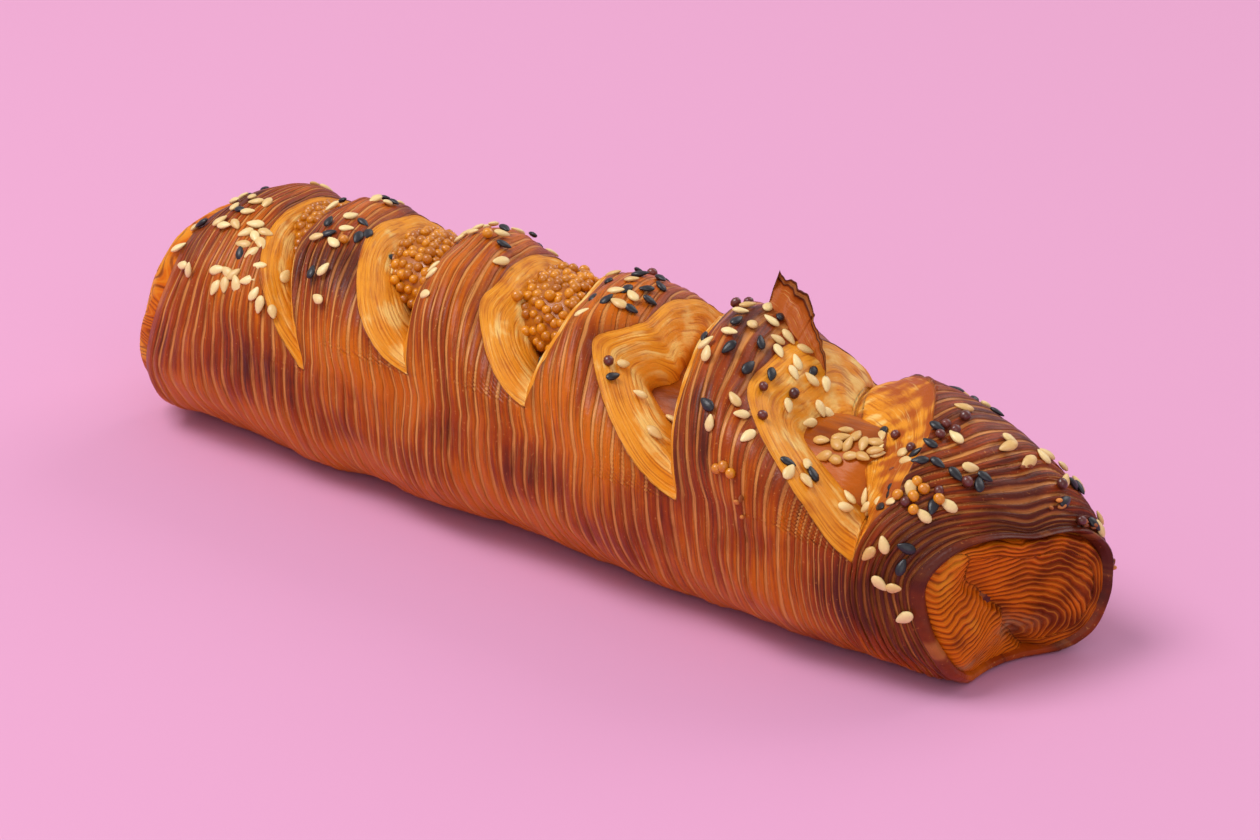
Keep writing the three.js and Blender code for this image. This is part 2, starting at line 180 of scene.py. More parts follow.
@dataclass(frozen=True)
class LoafForm:
    """The form of the dough. A point is given by its column along the loaf and by its
    distance s round the section from the ridge, with the front negative."""

    width: float = 49.5
    height: float = 42.6
    upper_round: float = 2.25
    lower_round: float = 2.15
    base_flat: float = 1.5
    arch: float = 2.3
    arch_length: float = 190.0
    far_width: Taper = Taper(-73.5, -21.5, 0.15)
    far_height: Taper = Taper(-73.5, -21.5, 0.34)
    near_width: Taper = Taper(48.0, 48.0, 0.42)
    near_height: Taper = Taper(51.0, 41.0, 0.54)
    near_bend: tuple = (20.0, 75.0, 2.0)
    near_skew: float = 0.24
    far_rim: float = -84.8
    near_rim: float = 86.7
    core_height: float = CORE_HEIGHT
    lean_total: float = 25.0
    lean_reach: float = 32.0
    lean_far: tuple = (-95.0, -48.0)
    lean_near: tuple = (40.0, 64.0)
    bow_total: float = 9.5
    bow_over: tuple = (-36.0, 3.0)
    bow_under: tuple = (52.0, 73.0)
    bow_grow: tuple = (48.0, 80.0)
    bow_fade: tuple = (79.0, 92.0, 0.8)
    foot_total: float = 4.5
    foot_down: tuple = (-28.0, -48.0)
    foot_under: tuple = (-48.0, -73.0)
    foot_grow: tuple = (70.0, 87.0)
    far_foot: float = -6.5
    flank_round: float = 1.5
    flank_share: float = 0.42
    hole_wall: float = 1.3
    narrowest: float = 0.9
    pinch_over: tuple = (-14.0, -4.0)
    curl_from: float = -19.0
    uncurl_over: tuple = (34.0, 70.0)
    closed_from: float = 31.0
    dome_reach: float = 36.0
    domes: tuple = (1.6, 1.8, 3.4, 2.6, 4.0, 1.6)
    slits: tuple = (
        Slit(-48.2, -34.0, -2.0, 30.0, 10.5, -6.5, 0.6, 4.5, 2.0, 5.0, 8.0),
        Slit(-22.3, -28.6, -2.0, 30.0, 18.5, 1.0, 0.5, 7.0, 3.0, 6.5, 14.0),
        Slit(5.5, -27.6, -2.0, 30.0, 23.0, 7.5, 0.6, 7.5, 5.0, 6.5, 14.0, 0.0, 3.0),
        Slit(38.8, -33.8, -8.0, 30.0, 21.5, 0.0, 0.6, 7.0, 4.0, 6.5, 14.0, 0.0, 8.5),
        Slit(75.3, -32.4, -8.0, 75.0, 27.5, 0.0, 0.7, 5.0, 13.0, 9.2, 14.0, 0.46, 1.0, 0.8),
    )

    def section(self, angle: np.ndarray) -> tuple:
        """Gives the outline of the plain section.

        Args:
            angle: Angles from the ridge.

        Returns:
            The outline's y and z at each angle.
        """
        roundness = np.where(np.cos(angle) < 0.0, self.lower_round, self.upper_round)
        across = 0.5 * self.width * signed_power(np.sin(angle), 2.0 / roundness)
        up = np.sign(np.cos(angle)) * np.abs(np.cos(angle)) ** (2.0 / roundness)
        return across, 0.5 * self.height * (1.0 + up)

    def arc_table(self) -> tuple:
        """Measures the way round the plain section.

        Returns:
            Angles from the ridge to the base, and the distance to each.
        """
        angles = np.linspace(0.0, math.pi, 361)
        y, z = self.section(angles)
        steps = np.hypot(np.diff(y), np.diff(z))
        return angles, np.concatenate([[0.0], np.cumsum(steps)])

    @property
    def half_girth(self) -> float:
        """Distance from the ridge to the middle of the base."""
        return float(self.arc_table()[1][-1])

    def plain(self, x: np.ndarray, s: np.ndarray, lift: np.ndarray) -> np.ndarray:
        """Returns points of the loaf with no slits, raised by lift from its core.

        Args:
            x: Place along the loaf.
            s: Distance round the section from the ridge.
            lift: How far the point stands out.

        Returns:
            An array of points, one more axis long than x.
        """
        angles, arcs = self.arc_table()
        y, z = self.section(np.sign(s) * np.interp(np.abs(s), arcs, angles))
        wide = self.far_width(x) * self.near_width(x)
        tall = self.far_height(x) * self.near_height(x)
        arch = 1.0 + self.arch / self.height * np.cos(math.pi * x / self.arch_length)
        pressed = np.maximum(0.0, z - self.base_flat)
        pressed = pressed * self.height / (self.height - self.base_flat)
        y = y * wide
        z = pressed * tall * arch
        middle = self.core_height * tall
        raised = np.where(pressed > 0.0, lift / np.hypot(y, z - middle), 0.0)
        bend_from, bend_reach, bend = self.near_bend
        bent = bend * np.clip((x - bend_from) / bend_reach, 0.0, 1.0) ** 2
        skewed = x + self.near_skew * y * smooth(60.0, 92.0, x)
        return np.stack(
            [skewed, y * (1.0 + raised) + bent, np.maximum(0.0, z + (z - middle) * raised)], -1
        )

    def lean(self, column: np.ndarray, s: np.ndarray) -> np.ndarray:
        """Gives how far the ridges have moved along the loaf.

        Args:
            column: Columns along the loaf.
            s: Distances round the section from the ridge.

        Returns:
            The shift along X at each point.
        """
        far_from, far_to = self.lean_far
        fade = np.clip((column - far_from) / (far_to - far_from), 0.0, 1.0)
        fade = fade * (1.0 - smooth(*self.lean_near, column))
        over = np.clip((s + self.lean_reach) / (2.0 * self.lean_reach), 0.0, 1.0)
        low, high, part = self.bow_fade
        bow = smooth(*self.bow_grow, column) * (1.0 - part * smooth(low, high, column))
        bow = self.bow_total * bow * smooth(*self.bow_over, s) * (1.0 - smooth(*self.bow_under, s))
        foot = smooth(*self.foot_down, s) * (1.0 - smooth(*self.foot_under, s))
        foot = self.foot_total * foot * smooth(*self.foot_grow, column)
        foot = foot + self.far_foot * smooth(-60.0, -85.0, column) * smooth(-18.0, -46.0, s)
        return bow + foot - self.lean_total * fade * over

    def column_at(self, x: float, s: float) -> float:
        """Returns the column that has leant to x at s."""
        columns = np.linspace(self.far_rim, self.near_rim, 400)
        return float(np.interp(x, columns + self.lean(columns, np.array(s)), columns))

    def edges(self, slit: Slit, s: np.ndarray) -> tuple:
        """Gives where a slit's sides run.

        Args:
            slit: The slit.
            s: Distances round the section from the ridge.

        Returns:
            Its left and right edge, its width and how open it is.
        """
        reach = np.where(s < slit.peak, slit.peak - slit.front, slit.back - slit.peak)
        opening = hump((s - slit.peak) / reach)
        left = slit.at + slit.bow * opening - slit.width * opening**slit.power
        left = left + slit.pinch * smooth(*self.pinch_over, s)
        curled = np.maximum(0.0, s - self.curl_from) * (1.0 - smooth(*self.uncurl_over, s))
        right = slit.at + slit.bow * opening - slit.curl * curled
        closed = (right - left < self.narrowest) | (s > self.closed_from)
        width = np.where(closed, 0.0, right - left)
        return right - width, right, width, opening

    def depth(self, slit: Slit, column: np.ndarray, s: np.ndarray) -> np.ndarray:
        """Gives how deep a slit is.

        Args:
            slit: The slit.
            column: Columns along the loaf.
            s: Distances round the section from the ridge.

        Returns:
            The depth at each point, 0 outside the slit.
        """
        left, right, width, opening = self.edges(slit, s)
        inside = (column > left) & (column < right) & (width > 0.1)
        wide = np.maximum(width, 0.1)
        drop = slit.drop * np.minimum(1.0, wide / 12.0)
        share = self.flank_share * wide
        from_left = np.maximum(0.0, column - left) / np.minimum(slit.flank, share)
        from_right = np.maximum(0.0, right - column) / np.minimum(slit.lip, share)
        slope = np.minimum(from_left**self.flank_round, from_right**slit.lip_round)
        wall = smooth(1.0, self.hole_wall, from_left) * smooth(1.0, self.hole_wall, from_right)
        fall = (slit.floor - slit.drop) * wall * smooth(0.2, 0.5, opening)
        return np.where(inside, drop * np.minimum(1.0, slope) + fall, 0.0)

    def all_depths(self, column: np.ndarray, s: np.ndarray) -> np.ndarray:
        """Returns the depth of whichever slit is at each point."""
        column, s = np.broadcast_arrays(np.asarray(column, float), np.asarray(s, float))
        return np.max([self.depth(slit, column, s) for slit in self.slits], axis=0)

    def dome(self, column: np.ndarray, s: np.ndarray) -> np.ndarray:
        """Gives how far the bands between the slits swell up.

        Args:
            column: Columns along the loaf.
            s: Distances round the section from the ridge.

        Returns:
            The swelling at each point.
        """
        total = np.zeros(np.broadcast(column, s).shape)
        starts = [np.full_like(total, -92.0)] + [self.edges(k, s)[1] + 0 * total for k in self.slits]
        ends = [self.edges(k, s)[0] + 0 * total for k in self.slits] + [np.full_like(total, 94.0)]
        for start, end, height in zip(starts, ends, self.domes):
            across = np.clip((column - start) / (end - start), 0.0, 1.0)
            swell = height * (1.0 - (2.0 * across - 1.0) ** 2)
            total = np.where((column >= start) & (column <= end), swell, total)
        return total * hump(s / self.dome_reach)

    def skin(self, column: np.ndarray, s: np.ndarray, relief: np.ndarray) -> np.ndarray:
        """Returns points of the slashed loaf, with relief added to its form."""
        lift = self.dome(column, s) - self.all_depths(column, s) + relief
        return self.plain(column + self.lean(column, s), s, lift)

    def frame_at(self, column: float, s: float) -> tuple:
        """Finds how the skin lies at one place.

        Args:
            column: Its column.
            s: Its distance from the ridge.

        Returns:
            The point, the direction along the loaf and the outward one.
        """
        step = 0.5
        columns = np.array([column, column - step, column + step, column, column])
        arcs = np.array([s, s, s, s - step, s + step])
        points = self.skin(columns, arcs, np.zeros(5))
        along = Vector(points[2] - points[1]).normalized()
        around = Vector(points[4] - points[3]).normalized()
        return Vector(points[0]), along, along.cross(around).normalized()


# ---------------------------------------------------------------- meshes


class Skin:
    """A closed mesh wrapped from one grid: columns along, rows round."""

    def __init__(self, name: str, points: np.ndarray, marks: dict) -> None:
        """Makes the mesh.

        Args:
            name: Name of the piece.
            points: Places in mm, as rows by columns by 3. The rows close on themselves,
                and each end column is one point.
            marks: Attribute values by name, as rows by columns.
        """
        rows, columns = points.shape[:2]
        closed = np.concatenate([points, points[:1]], 0) * MM
        grid = bmesh.new()
        bmesh.ops.create_grid(grid, x_segments=columns - 1, y_segments=rows, size=1.0)
        mesh = bpy.data.meshes.new(name)
        grid.to_mesh(mesh)
        grid.free()
        flat = np.empty(len(mesh.vertices) * 3)
        mesh.vertices.foreach_get("co", flat)
        flat = flat.reshape(-1, 3)
        column = np.rint((flat[:, 0] + 1.0) * 0.5 * (columns - 1)).astype(int)
        row = np.rint((flat[:, 1] + 1.0) * 0.5 * rows).astype(int)
        mesh.vertices.foreach_set("co", closed[row, column].ravel())
        for key, values in marks.items():
            layer = mesh.attributes.new(key, "FLOAT", "POINT")
            layer.data.foreach_set("value", values[row % rows, column])
        self.mesh = mesh

    def close(self) -> bpy.types.Mesh:
        """Merges the seams and poles, turns the faces outwards and smooths the shading.

        Returns:
            The finished mesh.
        """
        grid = bmesh.new()
        grid.from_mesh(self.mesh)
        bmesh.ops.remove_doubles(grid, verts=grid.verts[:], dist=0.002 * MM)
        bmesh.ops.dissolve_degenerate(grid, dist=0.001 * MM, edges=grid.edges[:])
        bmesh.ops.recalc_face_normals(grid, faces=grid.faces[:])
        for face in grid.faces:
            face.smooth = True
        grid.to_mesh(self.mesh)
        grid.free()
        return self.mesh


def place(name: str, mesh: bpy.types.Mesh, material: bpy.types.Material) -> bpy.types.Object:
    """Adds a finished mesh to the scene as a piece of the roll.

    Args:
        name: Name of the piece.
        mesh: Its mesh, in place.
        material: Its material.

    Returns:
        The piece.
    """
    piece = bpy.data.objects.new(name, mesh)
    bpy.context.scene.collection.objects.link(piece)
    mesh.materials.clear()
    mesh.materials.append(material)
    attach(piece, BODY)
    LOG.info("%s: %d vertices, %d faces", name, len(mesh.vertices), len(mesh.polygons))
    return piece


# ---------------------------------------------------------------- materials


class NodeSheet:
    """A material's nodes, added one call at a time."""

    def __init__(self, name: str) -> None:
        """Starts a material with only its shader and output.

        Args:
            name: Name of the material.
        """
        self.material = bpy.data.materials.new(name)
        self.material.use_nodes = True
        self.tree = self.material.node_tree
        self.tree.nodes.clear()
        self.shader = self.tree.nodes.new("ShaderNodeBsdfPrincipled")
        output = self.tree.nodes.new("ShaderNodeOutputMaterial")
        self.tree.links.new(self.shader.outputs[0], output.inputs[0])
        self.coordinates = self.tree.nodes.new("ShaderNodeTexCoord").outputs["Object"]

    def put(self, socket: bpy.types.NodeSocket, value: object) -> None:
        """Links a socket to another, or gives it a plain value.

        Args:
            socket: The input that is set.
            value: A socket, a number or a colour.
        """
        if isinstance(value, bpy.types.NodeSocket):
            self.tree.links.new(value, socket)
        else:
            socket.default_value = value

    def math(self, operation: str, *values: object, clamp: bool = False) -> bpy.types.NodeSocket:
        """Adds a Math node.

        Args:
            operation: What it works out.
            values: Its inputs, sockets or numbers.
            clamp: Whether the result is kept from 0 to 1.

        Returns:
            The result.
        """
        node = self.tree.nodes.new("ShaderNodeMath")
        node.operation = operation
        node.use_clamp = clamp
        for socket, value in zip(node.inputs, values):
            self.put(socket, value)
        return node.outputs[0]

    def vary(self, base: object, noise: bpy.types.NodeSocket, amount: float) -> bpy.types.NodeSocket:
        """Returns a number moved up or down by noise about 0.5, times an amount."""
        return self.math("MULTIPLY_ADD", self.math("SUBTRACT", noise, 0.5), amount, base)

    def dress(self, inputs: dict) -> None:
        """Sets the shader's inputs by name, each to a socket or a plain value."""
        for name, value in inputs.items():
            self.put(self.shader.inputs[name], value)

    def mark(self, name: str) -> bpy.types.NodeSocket:
        """Reads a number attribute of the mesh.

        Args:
            name: Name of the attribute.

        Returns:
            Its value at each place.
        """
        node = self.tree.nodes.new("ShaderNodeAttribute")
        node.attribute_name = name
        return node.outputs["Fac"]

    def noise(
        self, size: float, detail: float = 2.0, stretch: tuple = (1.0, 1.0, 1.0)
    ) -> bpy.types.NodeSocket:
        """Adds noise on the piece's own coordinates.

        Args:
            size: How far its humps are across, in mm.
            detail: How many finer layers it has.
            stretch: How much longer the humps are along each axis.

        Returns:
            The noise, about 0.5.
        """
        mapping = self.tree.nodes.new("ShaderNodeMapping")
        mapping.inputs["Scale"].default_value = [1.0 / (MM * size * s) for s in stretch]
        self.put(mapping.inputs["Vector"], self.coordinates)
        return self.noise_at(mapping.outputs[0], detail)

    def vector(self, x: object, y: object) -> bpy.types.NodeSocket:
        """Joins two numbers.

        Args:
            x: First number.
            y: Second number.

        Returns:
            A vector of the two.
        """
        node = self.tree.nodes.new("ShaderNodeCombineXYZ")
        self.put(node.inputs["X"], x)
        self.put(node.inputs["Y"], y)
        return node.outputs[0]

    def noise_at(self, place_in: bpy.types.NodeSocket, detail: float) -> bpy.types.NodeSocket:
        """Adds noise of unit size.

        Args:
            place_in: Vector at which it is read.
            detail: How many finer layers it has.

        Returns:
            The noise, about 0.5.
        """
        node = self.tree.nodes.new("ShaderNodeTexNoise")
        self.put(node.inputs["Vector"], place_in)
        node.inputs["Scale"].default_value = 1.0
        node.inputs["Detail"].default_value = detail
        return node.outputs["Fac"]

    def random(self, value: bpy.types.NodeSocket) -> bpy.types.NodeSocket:
        """Adds a steady random number for each whole value.

        Args:
            value: The whole value.

        Returns:
            The random number, 0 to 1.
        """
        node = self.tree.nodes.new("ShaderNodeTexWhiteNoise")
        node.noise_dimensions = "1D"
        self.put(node.inputs["W"], value)
        return node.outputs["Value"]

    def step(
        self, value: object, low: float, high: float, start: float = 0.0, end: float = 1.0
    ) -> bpy.types.NodeSocket:
        """Eases from one number to another.

        Args:
            value: What is read.
            low: Value up to which start holds.
            high: Value from which end holds.
            start: First number.
            end: Last number.

        Returns:
            The eased number.
        """
        node = self.tree.nodes.new("ShaderNodeMapRange")
        node.interpolation_type = "SMOOTHSTEP"
        keys = ("Value", "From Min", "From Max", "To Min", "To Max")
        for key, item in zip(keys, (value, low, high, start, end)):
            self.put(node.inputs[key], item)
        return node.outputs[0]

    def mix(self, share: object, one: object, other: object) -> bpy.types.NodeSocket:
        """Turns one colour into another.

        Args:
            share: How much of the other colour.
            one: First colour.
            other: Other colour.

        Returns:
            The mixed colour.
        """
        node = self.tree.nodes.new("ShaderNodeMix")
        node.data_type = "RGBA"
        self.put(node.inputs[0], share)
        self.put(node.inputs[6], one)
        self.put(node.inputs[7], other)
        return node.outputs[2]

    def bump(self, height: bpy.types.NodeSocket, depth: float, before: object = None) -> bpy.types.NodeSocket:
        """Adds a relief to the shading.

        Args:
            height: The relief, about 0 to 1.
            depth: How many mm it stands for.
            before: The normal that it is added to.

        Returns:
            The new normal.
        """
        node = self.tree.nodes.new("ShaderNodeBump")
        node.inputs["Distance"].default_value = depth * MM
        self.put(node.inputs["Height"], height)
        if before is not None:
            self.put(node.inputs["Normal"], before)
        return node.outputs[0]


def tone(red: int, green: int, blue: int) -> tuple:
    """Turns a screen colour into the linear one that a shader takes.

    Args:
        red: Red, 0 to 255.
        green: Green, 0 to 255.
        blue: Blue, 0 to 255.

    Returns:
        The linear colour, with its alpha.
    """
    parts = [channel / 255.0 for channel in (red, green, blue)]
    linear = [p / 12.92 if p <= 0.04045 else ((p + 0.055) / 1.055) ** 2.4 for p in parts]
    return (*linear, 1.0)


@dataclass(frozen=True)
class BakedDough:
    """Egg-washed laminated dough: brown ridges, pale grooves and golden cut layers."""

    dark: tuple = tone(84, 30, 16)
    brown: tuple = tone(150, 58, 4)
    amber: tuple = tone(198, 100, 6)
    groove: tuple = tone(218, 148, 76)
    gold: tuple = tone(226, 146, 34)
    cream: tuple = tone(240, 200, 116)
    rust: tuple = tone(172, 82, 14)
    rim: tuple = tone(104, 44, 20)
    olive: tuple = tone(172, 104, 48)
    end_light: tuple = tone(202, 98, 4)
    end_dark: tuple = tone(104, 32, 2)
    flour: tuple = tone(158, 124, 92)
    gleam: float = 0.17
    end_gleam: float = 0.08

    def on_surface(self, sheet: NodeSheet, along: object, across_mm: float, around_mm: float) -> object:
        """Adds noise that is drawn out round the loaf.

        Args:
            sheet: The material's nodes.
            along: The mark that runs along the loaf.
            across_mm: Size of a streak along that mark.
            around_mm: Its length round the loaf.

        Returns:
            The noise, about 0.5.
        """
        place_in = sheet.vector(
            sheet.math("MULTIPLY", along, 1.0 / across_mm),
            sheet.math("MULTIPLY", sheet.mark("girth"), 1.0 / around_mm),
        )
        return sheet.noise_at(place_in, 3.0)

    def crust(self, sheet: NodeSheet) -> tuple:
        """Makes the striped crust.

        Args:
            sheet: The material's nodes.

        Returns:
            Its colour and the height of its fine lines.
        """
        phase = sheet.mark("ridge")
        bake_and_shade = sheet.mark("bake_and_shade")
        streak = self.on_surface(sheet, phase, 0.2, 11.0)
        drift = sheet.math("MULTIPLY_ADD", self.on_surface(sheet, phase, 1.0, 9.0), 0.1, -0.05)
        moved = sheet.math("ADD", phase, drift)
        place_in = sheet.math("FRACT", moved)
        edge = sheet.math("MINIMUM", place_in, sheet.math("SUBTRACT", 1.0, place_in))
        own = sheet.random(sheet.math("FLOOR", moved))
        shade = sheet.vary(bake_and_shade, own, 0.25)
        shade = sheet.vary(shade, sheet.noise(11.0, 4.0), 1.1)
        shade = sheet.vary(shade, streak, 1.2)
        brown = sheet.mix(sheet.step(shade, 0.0, 0.5), self.amber, self.brown)
        brown = sheet.mix(sheet.step(shade, 0.45, 1.0), brown, self.dark)
        wider = sheet.step(bake_and_shade, 0.75, 1.0, 0.07, 0.22)
        width = sheet.math("MULTIPLY_ADD", self.on_surface(sheet, phase, 0.9, 7.0), 0.26, wider)
        line = sheet.math("SUBTRACT", 1.0, sheet.math("DIVIDE", edge, width), clamp=True)
        line = sheet.step(line, 0.05, 0.6)
        strength = sheet.step(self.on_surface(sheet, phase, 0.8, 10.0), 0.3, 0.6, 0.25, 0.85)
        pale = sheet.mix(sheet.step(shade, 0.45, 1.0), self.groove, self.olive)
        colour = sheet.mix(sheet.math("MULTIPLY", line, strength), brown, pale)
        hair = sheet.step(self.on_surface(sheet, phase, 0.09, 8.0), 0.56, 0.7)
        colour = sheet.mix(sheet.math("MULTIPLY", hair, 0.42), colour, pale)
        fleck = sheet.step(sheet.noise(0.55, 1.0), 0.68, 0.76, 0.0, 0.45)
        colour = sheet.mix(fleck, colour, pale)
        colour = sheet.mix(sheet.math("MULTIPLY", sheet.mark("edge"), 0.45), colour, self.rim)
        return colour, sheet.math("SUBTRACT", hair, sheet.math("MULTIPLY", line, 2.0))

    def cut(self, sheet: NodeSheet) -> tuple:
        """Makes the layers in the slits.

        Args:
            sheet: The material's nodes.

        Returns:
            Their colour and height.
        """
        layer = sheet.mark("layer")
        # This mark holds the browning and also painted shade deep in the slits, which turns the colour there
        # to rust.
        bake_and_shade = sheet.mark("bake_and_shade")
        wide = self.on_surface(sheet, layer, 1.0, 12.0)
        fine = self.on_surface(sheet, layer, 0.3, 8.0)
        shade = sheet.vary(bake_and_shade, wide, 1.3)
        shade = sheet.vary(shade, sheet.noise(4.0, 5.0), 0.9)
        body = sheet.mix(sheet.step(shade, -0.1, 0.3), self.cream, self.gold)
        body = sheet.mix(sheet.step(shade, 0.4, 1.05), body, self.rust)
        line = sheet.step(fine, 0.52, 0.66)
        colour = sheet.mix(sheet.math("MULTIPLY", line, 0.6), body, self.rust)
        colour = sheet.mix(sheet.step(fine, 0.42, 0.3, 0.0, 0.35), colour, self.cream)
        return colour, sheet.math("MULTIPLY", fine, -1.5)

    def finish(self, sheet: NodeSheet, colour: object, height: object, matt: object) -> bpy.types.Material:
        """Dresses the shader with a colour, a relief and a sheen.

        Args:
            sheet: The material's nodes.
            colour: Colour of each place.
            height: Relief of the fine lines.
            matt: 1 where the dough has no egg wash.

        Returns:
            The finished material.
        """
        gloss = sheet.math("MULTIPLY_ADD", sheet.noise(3.0, 3.0), 0.34, 0.22)
        lines = sheet.bump(height, 0.12)
        sheet.dress({
            "Base Color": colour,
            "Roughness": sheet.math("MULTIPLY_ADD", matt, 0.14, gloss),
            "Specular IOR Level": self.gleam,
            "Coat Weight": 0.06,
            "Coat Roughness": 0.25,
            "Subsurface Weight": 0.04,
            "Subsurface Scale": 1.2 * MM,
            "Subsurface Radius": (1.0, 0.45, 0.2),
            "Normal": sheet.bump(sheet.noise(0.7, 3.0), 0.09, lines),
        })
        return sheet.material

    def crust_material(self) -> bpy.types.Material:
        """Makes the finish of the crust and of its slits.

        Returns:
            The finished material.
        """
        sheet = NodeSheet("baked_crust")
        is_cut = sheet.step(sheet.mark("region"), 0.3, 0.7)
        striped, hairs = self.crust(sheet)
        golden, lines = self.cut(sheet)
        colour = sheet.mix(is_cut, striped, golden)
        apart = sheet.math("MULTIPLY", is_cut, sheet.math("SUBTRACT", lines, hairs))
        return self.finish(sheet, colour, sheet.math("ADD", hairs, apart), is_cut)

    def end_material(self) -> bpy.types.Material:
        """Makes the finish of the layers at the two ends.

        Returns:
            The finished material.
        """
        sheet = NodeSheet("baked_end")
        drift = sheet.math("MULTIPLY_ADD", sheet.noise(3.0, 4.0), 0.3, -0.15)
        place_in = sheet.math("FRACT", sheet.math("ADD", sheet.mark("layer"), drift))
        ridge = sheet.math("ABSOLUTE", sheet.math("MULTIPLY_ADD", place_in, 2.0, -1.0))
        # This mark holds the browning and also painted shade in the near end's crease and hole and on its
        # right side.
        shade = sheet.vary(sheet.mark("bake_and_shade"), sheet.noise(6.0, 4.0), 0.7)
        body = sheet.mix(sheet.step(shade, -0.05, 0.35), self.gold, self.end_light)
        body = sheet.mix(sheet.step(shade, 0.4, 1.05), body, self.end_dark)
        line = sheet.step(ridge, 0.5, 0.95)
        fading = sheet.step(sheet.noise(4.0, 3.0), 0.3, 0.6, 0.25, 0.75)
        colour = sheet.mix(sheet.math("MULTIPLY", line, fading), body, self.end_dark)
        colour = sheet.mix(sheet.step(ridge, 0.3, 0.0, 0.0, 0.4), colour, self.gold)
        dust = sheet.math("MULTIPLY", sheet.mark("flour"), sheet.step(sheet.noise(1.6, 4.0), 0.3, 0.6))
        colour = sheet.mix(sheet.math("MULTIPLY", dust, 0.75), colour, self.flour)
        self.finish(sheet, colour, sheet.math("MULTIPLY", line, -1.0), 0.8)
        sheet.dress({"Specular IOR Level": self.end_gleam})
        return sheet.material


@dataclass(frozen=True)
class MoistSkin:
    """A cooked sausage's smooth, shining skin."""

    light: tuple = tone(182, 92, 6)
    dark: tuple = tone(112, 44, 2)

    def material(self) -> bpy.types.Material:
        """Makes the finish of the sausage.

        Returns:
            The finished material.
        """
        sheet = NodeSheet("sausage_skin")
        patch = sheet.step(sheet.noise(9.0, 4.0, (2.0, 1.0, 1.0)), 0.35, 0.65)
        sheet.dress({
            "Base Color": sheet.mix(patch, self.dark, self.light),
            "Roughness": 0.36,
            "Specular IOR Level": 0.16,
            "Coat Weight": 0.04,
            "Coat Roughness": 0.15,
            "Normal": sheet.bump(sheet.noise(1.6, 4.0, (3.0, 1.0, 1.0)), 0.25),
        })
        return sheet.material


@dataclass(frozen=True)
class Grain:
    """A small seed or grain whose colour varies from one to the next."""

    name: str
    pale: tuple
    deep: tuple
    roughness: float
    coat: float
    speckle: float = 0.15

    def material(self) -> bpy.types.Material:
        """Makes the finish of one kind of seed or grain.

        Returns:
            The finished material.
        """
        sheet = NodeSheet(self.name)
        spots = sheet.math("MULTIPLY_ADD", sheet.noise(0.6, 3.0), self.speckle * 2, -self.speckle)
        share = sheet.math("ADD", sheet.mark("tint"), spots, clamp=True)
        sheet.dress({
            "Base Color": sheet.mix(share, self.pale, self.deep),
            "Roughness": self.roughness,
            "Coat Weight": self.coat,
            "Coat Roughness": 0.15,
            "Normal": sheet.bump(sheet.noise(0.35, 2.0), 0.04),
        })
        return sheet.material


@dataclass(frozen=True)
class PaperFloor:
    """The pale paper that the roll lies on."""

    colour: tuple = tone(216, 154, 192)

    def material(self) -> bpy.types.Material:
        """Makes the finish of the paper.

        Returns:
            The finished material.
        """
        sheet = NodeSheet("pale_paper")
        sheet.dress({"Base Color": self.colour, "Roughness": 0.9})
        return sheet.material


# ---------------------------------------------------------------- the dough


@dataclass(frozen=True)
class Ridges:
    """The uneven ridges of laminated dough that run round the loaf."""

    pitch: float = 2.3
    end_pitch: float = 1.3
    end_from: float = 61.0
    height: float = 0.5
    end_height: float = 0.95
    sharpness: float = 2.4
    first: float = -98.0
    count: int = 120
    rim_from: float = 85.6
    seed: int = 7

    def phase(self, column: np.ndarray, s: np.ndarray) -> np.ndarray:
        """Counts the ridges along the loaf, which wander as real ones do.

        Args:
            column: Columns along the loaf.
            s: Distances round the section from the ridge.

        Returns:
            The count at each point, a whole number in each groove.
        """
        rng = np.random.default_rng(self.seed)
        bounds = [self.first]
        for share in rng.uniform(0.74, 1.26, self.count):
            pitch = self.end_pitch if bounds[-1] > self.end_from else self.pitch
            bounds.append(bounds[-1] + pitch * share)
        loose = 1.0 - 0.75 * smooth(76.0, 86.0, column)
        wander = 0.5 * Ripple(3, 60.0, 1.4)(column, s) + 0.05 * Ripple(4, 24.0, 1.6)(column, s)
        return np.interp(column + wander * loose, bounds, np.arange(len(bounds)))

    def relief(self, column: np.ndarray, s: np.ndarray, phase: np.ndarray) -> np.ndarray:
        """Gives how far the ridges and their finer lines stand out.

        Args:
            column: Columns along the loaf.
            s: Distances round the section from the ridge.
            phase: Count of ridges at each point.

        Returns:
            The relief at each point.
        """
        rng = np.random.default_rng(self.seed + 1)
        heights = rng.uniform(0.6, 1.15, self.count + 20)
        own = np.interp(phase, np.arange(len(heights)) + 0.5, heights)
        crown = 1.0 - np.abs(2.0 * (phase % 1.0) - 1.0) ** self.sharpness
        height = self.height + (self.end_height - self.height) * smooth(64.0, 78.0, column)
        height = height * (0.8 + 0.25 * Ripple(8, 18.0)(column, s))
        height = height * smooth(74.0, 60.0, np.abs(s))
        fine = 0.04 * Ripple(9, 1.1, 12.0)(column, s) + 0.04 * Ripple(10, 2.2, 9.0)(column, s)
        kept = 1.0 - smooth(self.rim_from, self.rim_from + 1.2, column)
        return kept * (height * own * (crown - 0.6) + fine) + 0.35 * (1.0 - kept)


